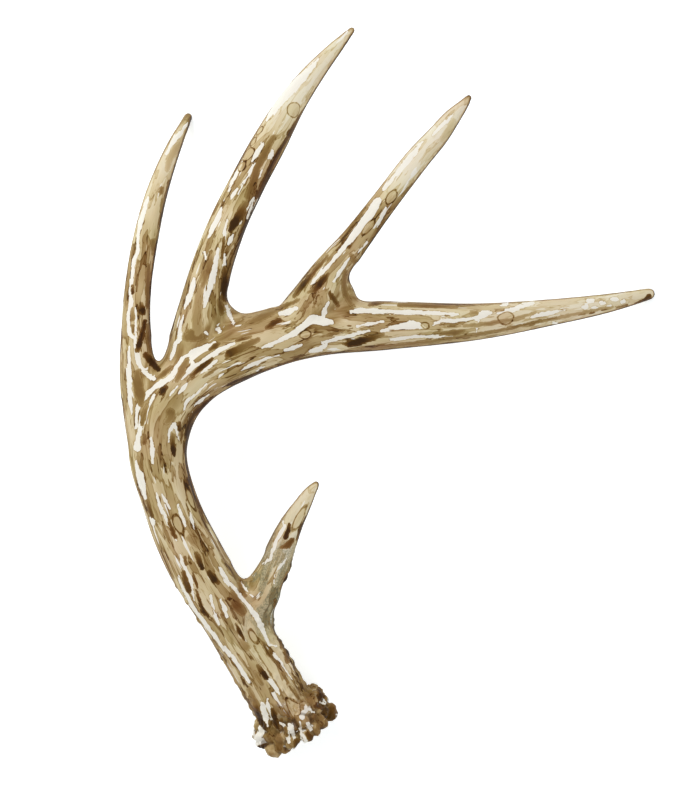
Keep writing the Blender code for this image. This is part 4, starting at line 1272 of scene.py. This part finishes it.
def burr_colour(tree, here, marks, tones):
    """The burr: knobs each of their own brown, dark between them, with some bare bone, round the
    crumbly pale face that broke off the skull."""
    add = partial(add_node, tree)
    mottle = add("TexNoise", {"Vector": here, "Scale": 1 / (4.5 * MM), "Detail": 3.0})
    depth = add("Math", {0: marks["knob"], 1: 0.5, 2: mottle}, operation="MULTIPLY_ADD")
    browns = add("ValToRGB", {"Fac": depth})
    stops = (0.42, "tan"), (0.6, "brown"), (0.86, "walnut"), (1.0, "umber")
    set_stops(browns, stops, tones)
    gaps = add("TexNoise", {"Vector": here, "Scale": 1 / (7 * MM), "Detail": 2.0})
    gaps = add("MapRange", {0: gaps, 1: 0.575, 2: 0.6}, **EASED)
    colour = add("Mix", {0: gaps, 6: browns, 7: tones["white"]}, out=2, data_type="RGBA")
    crease = add("MapRange", {0: marks["crevice"], 1: 0.4, 2: 0.9, 4: 0.6}, **EASED)
    colour = add("Mix", {0: crease, 6: colour, 7: tones["umber"]}, out=2, data_type="RGBA")
    crumbs = add("TexNoise", {"Vector": here, "Scale": 1 / (2.2 * MM), "Detail": 3.0})
    face = add("ValToRGB", {"Fac": crumbs})
    stops = (0.36, "brown"), (0.43, "tan"), (0.5, "ivory"), (0.62, "cream")
    set_stops(face, stops, tones)
    return add("Mix", {0: marks["seal"], 6: colour, 7: face}, out=2, data_type="RGBA")


def weathered_antler_bone_with_painted_shade(colours):
    """Weathered antler bone: dry satin, stained along its grain in washes and bare in slivers, with
    painted shade on the side away from the light and a painted dark outline along its sides.

    The strength of its stain and painted shade runs from 0, bare, to 1, umber. Every size is in
    millimetres, along the grain and across it. The tips are rubbed pale and glossier, and fibres are
    0.45 mm wide.
    """
    material, tree, shader = new_material("weathered_antler_bone_with_painted_shade")
    add = partial(add_node, tree)
    tones = {name: (*getattr(colours, name), 1) for name in colours.__annotations__}
    marks = {name: add("Attribute", out="Fac", attribute_name=name) for name in MARKS}
    grain = add("Attribute", out="Vector", attribute_name="grain")
    bend = add("Attribute", out="Vector", attribute_name="bend")
    here = add("TexCoord", out="Object")

    stain_and_shade = grown_stain_and_painted_shade(tree, grain, bend, marks)
    stain_and_shade, covered = laid_marks(tree, stain_and_shade, grain, marks)
    colour = add("ValToRGB", {"Fac": stain_and_shade})
    set_stops(colour, STAIN_AND_SHADE_STOPS, tones)
    knobs = burr_colour(tree, here, marks, tones)
    open_share = add("MapRange", {0: covered, 3: 0.9, 4: 0.0})
    on_burr = add("Math", {0: marks["burr"], 1: open_share}, operation="MULTIPLY")
    colour = add("Mix", {0: on_burr, 6: colour, 7: knobs}, out=2, data_type="RGBA")

    # The grey-green patches lean towards the side away from the light, as painted shade.
    patch = streaks(tree, grain, (18, 6), 4.1, Detail=2.0)
    patch = add("Math", {0: marks["shade"], 1: 0.2, 2: patch}, operation="MULTIPLY_ADD")
    patch = add("MapRange", {0: patch, 1: 0.42, 2: 0.5}, **EASED)
    speckle = add("TexNoise", {"Vector": here, "Scale": 1 / (1.1 * MM), "Detail": 2.0})
    speckle = add("MapRange", {0: speckle, 1: 0.46, 2: 0.6, 3: 0.45, 4: 0.95}, **EASED)
    olive = add("Math", {0: patch, 1: speckle}, operation="MULTIPLY")
    olive = add("Math", {0: olive, 1: marks["lichen"]}, operation="MULTIPLY")
    olive = add("Math", {0: olive, 1: open_share}, operation="MULTIPLY")
    colour = add("Mix", {0: olive, 6: colour, 7: tones["lichen"]}, out=2, data_type="RGBA")

    fibres = streaks(tree, grain, (7, 0.45), Detail=3.0)
    pores = add("TexNoise", {"Vector": here, "Scale": 1 / (0.8 * MM), "Detail": 3.0})
    hue = streaks(tree, grain, (26, 14), 8.8, Detail=2.0)
    hue = add("MapRange", {0: hue, 3: 0.475, 4: 0.525})
    bright = add("MapRange", {0: fibres, 3: 0.92, 4: 1.08})
    colour = add("HueSaturation", {"Color": colour, "Value": bright, "Hue": hue})
    tree.links.new(colour, shader.inputs["Base Color"])

    rough = add("Math", {0: pores, 1: 0.25, 2: 0.47}, operation="MULTIPLY_ADD")
    rough = add("Math", {0: marks["pale"], 1: -0.14, 2: rough}, operation="MULTIPLY_ADD")
    tree.links.new(rough, shader.inputs["Roughness"])
    shader.inputs["IOR"].default_value = 1.5
    shader.inputs["Specular IOR Level"].default_value = 0.12
    height = add("Math", {0: pores, 1: 0.5, 2: fibres}, operation="MULTIPLY_ADD")
    bump = add("Bump", {"Height": height, "Strength": 0.5, "Distance": 0.12 * MM})
    tree.links.new(bump, shader.inputs["Normal"])
    return material


def white_paper(colours):
    """Smooth white paper: matt and even, so that the antler's colours stand alone."""
    material, tree, shader = new_material("white_paper")
    fibres = add_node(tree, "TexNoise", {"Scale": 900.0, "Detail": 2.0})
    bump = add_node(tree, "Bump", {"Height": fibres, "Strength": 0.05})
    tree.links.new(bump, shader.inputs["Normal"])
    shader.inputs["Base Color"].default_value = (*colours.paper, 1)
    shader.inputs["Roughness"].default_value = 0.9
    shader.inputs["Emission Color"].default_value = (*colours.paper, 1)
    shader.inputs["Emission Strength"].default_value = PAPER_GLOW
    return material


class ANTLER_OT_skin(bpy.types.Operator):
    """Fuse the limbs into one fine skin with its relief, and part it at the forks"""

    bl_idname = "antler.skin"
    bl_label = "Grow the skin"

    def execute(self, context):
        sizes = context.scene.antler_sizes
        skin, paths, knobs = fused_skin(sizes.skin_grain)
        whole = object_from("whole_skin", skin)
        dress_skin(whole.data, sizes, knobs)
        bm = bmesh.new()
        bm.from_mesh(whole.data)
        for limb, distance in CUTS:
            place, width = frame_along(paths[limb], distance)
            cut_across(bm, place, CUT_REACH * width * MM)
        bm.to_mesh(whole.data)
        bm.free()
        return {"FINISHED"}


def part_all(context, parts):
    """Parts off each named sub-part of the whole skin."""
    whole = bpy.data.objects["whole_skin"]
    material = bpy.data.materials.get("weathered_antler_bone_with_painted_shade")
    material = material or weathered_antler_bone_with_painted_shade(context.scene.antler_colours)
    for node, (limb, distance) in parts.items():
        place, _ = frame_along(smooth_path(LIMBS[limb], RING_SPACING), distance)
        part_off(whole, node, place.translation, material)


class ANTLER_OT_beam(bpy.types.Operator):
    """Take the three lengths of the beam from the skin"""

    bl_idname = "antler.beam"
    bl_label = "Beam"

    def execute(self, context):
        part_all(context, BEAM_PARTS)
        return {"FINISHED"}


class ANTLER_OT_tines(bpy.types.Operator):
    """Take the four tines from the skin, and clear the skin away"""

    bl_idname = "antler.tines"
    bl_label = "Tines"

    def execute(self, context):
        part_all(context, TINE_PARTS)
        bpy.data.objects.remove(bpy.data.objects["whole_skin"])
        return {"FINISHED"}


# The picture: its middle and its tall side, which is in true scale at that height.
VIEW_MIDDLE = (-29.3, -6.7, 55)
VIEW_HEIGHT = 536
LENS = 400
SENSOR = 36
FAR = 100

# The paper's radius in metres and its glow, the light all round, and the soft boxes: each one's side in
# metres, its power in watts and its place.
PAPER_RADIUS = 4
PAPER_GLOW = 0.5
PAPER_SIDES = 96
SKY_STRENGTH = 0.55
SOFT_BOXES = {
    "key": (1.2, 22, (-1.1, 1.0, 1.6)),
    "fill": (1.8, 8, (1.2, -0.6, 1.8)),
}


def add_camera():
    """A long lens straight above the antler, so that heights hardly change its outline."""
    camera = bpy.data.cameras.new("camera")
    camera.lens = LENS
    camera.sensor_width = SENSOR
    camera.clip_end = FAR
    made = bpy.data.objects.new("camera", camera)
    distance = VIEW_HEIGHT * LENS / SENSOR
    x, y, height = VIEW_MIDDLE
    made.location = Vector((x, y, height + distance)) * MM
    bpy.context.scene.collection.objects.link(made)
    bpy.context.scene.camera = made


def add_light(name, size, energy, place):
    """A square soft box aimed at the origin."""
    light = bpy.data.lights.new(name, "AREA")
    light.size = size
    light.energy = energy
    made = bpy.data.objects.new(name, light)
    made.location = place
    made.rotation_euler = (-Vector(place)).to_track_quat("-Z", "Y").to_euler()
    bpy.context.scene.collection.objects.link(made)


class ANTLER_OT_stage(bpy.types.Operator):
    """Lay the paper, and set the lights and the camera"""

    bl_idname = "antler.stage"
    bl_label = "Paper, lights and camera"

    def execute(self, context):
        scene = context.scene
        bm = bmesh.new()
        bmesh.ops.create_circle(bm, cap_ends=True, segments=PAPER_SIDES, radius=PAPER_RADIUS)
        paper = object_from("paper", bm)
        paper.data.materials.append(white_paper(scene.antler_colours))
        world = bpy.data.worlds.new("studio")
        world.use_nodes = True
        sky = world.node_tree.nodes["Background"]
        sky.inputs["Color"].default_value = (1, 1, 1, 1)
        sky.inputs["Strength"].default_value = SKY_STRENGTH
        scene.world = world
        scene.view_settings.view_transform = "Standard"
        for name, (size, energy, place) in SOFT_BOXES.items():
            add_light(name, size, energy, place)
        add_camera()
        return {"FINISHED"}


class ANTLER_PT_panel(bpy.types.Panel):
    """Lists the antler's sizes, colours and pieces"""

    bl_idname = "ANTLER_PT_panel"
    bl_label = "Antler"
    bl_space_type = "VIEW_3D"
    bl_region_type = "UI"
    bl_category = "Antler"

    def draw(self, context):
        for group in (context.scene.antler_sizes, context.scene.antler_colours):
            for name in group.__annotations__:
                self.layout.prop(group, name)
        for operator in OPERATORS:
            self.layout.operator(operator.bl_idname)


OPERATORS = (ANTLER_OT_skin, ANTLER_OT_beam, ANTLER_OT_tines, ANTLER_OT_stage)
CLASSES = (AntlerSizes, AntlerColours, *OPERATORS, ANTLER_PT_panel)


def register():
    for item in CLASSES:
        bpy.utils.register_class(item)
    bpy.types.Scene.antler_sizes = bpy.props.PointerProperty(type=AntlerSizes)
    bpy.types.Scene.antler_colours = bpy.props.PointerProperty(type=AntlerColours)


def unregister():
    del bpy.types.Scene.antler_sizes
    del bpy.types.Scene.antler_colours
    for item in reversed(CLASSES):
        bpy.utils.unregister_class(item)


def main():
    register()
    bpy.ops.antler.skin()
    bpy.ops.antler.beam()
    bpy.ops.antler.tines()
    bpy.ops.antler.stage()


if __name__ == "__main__":
    main()
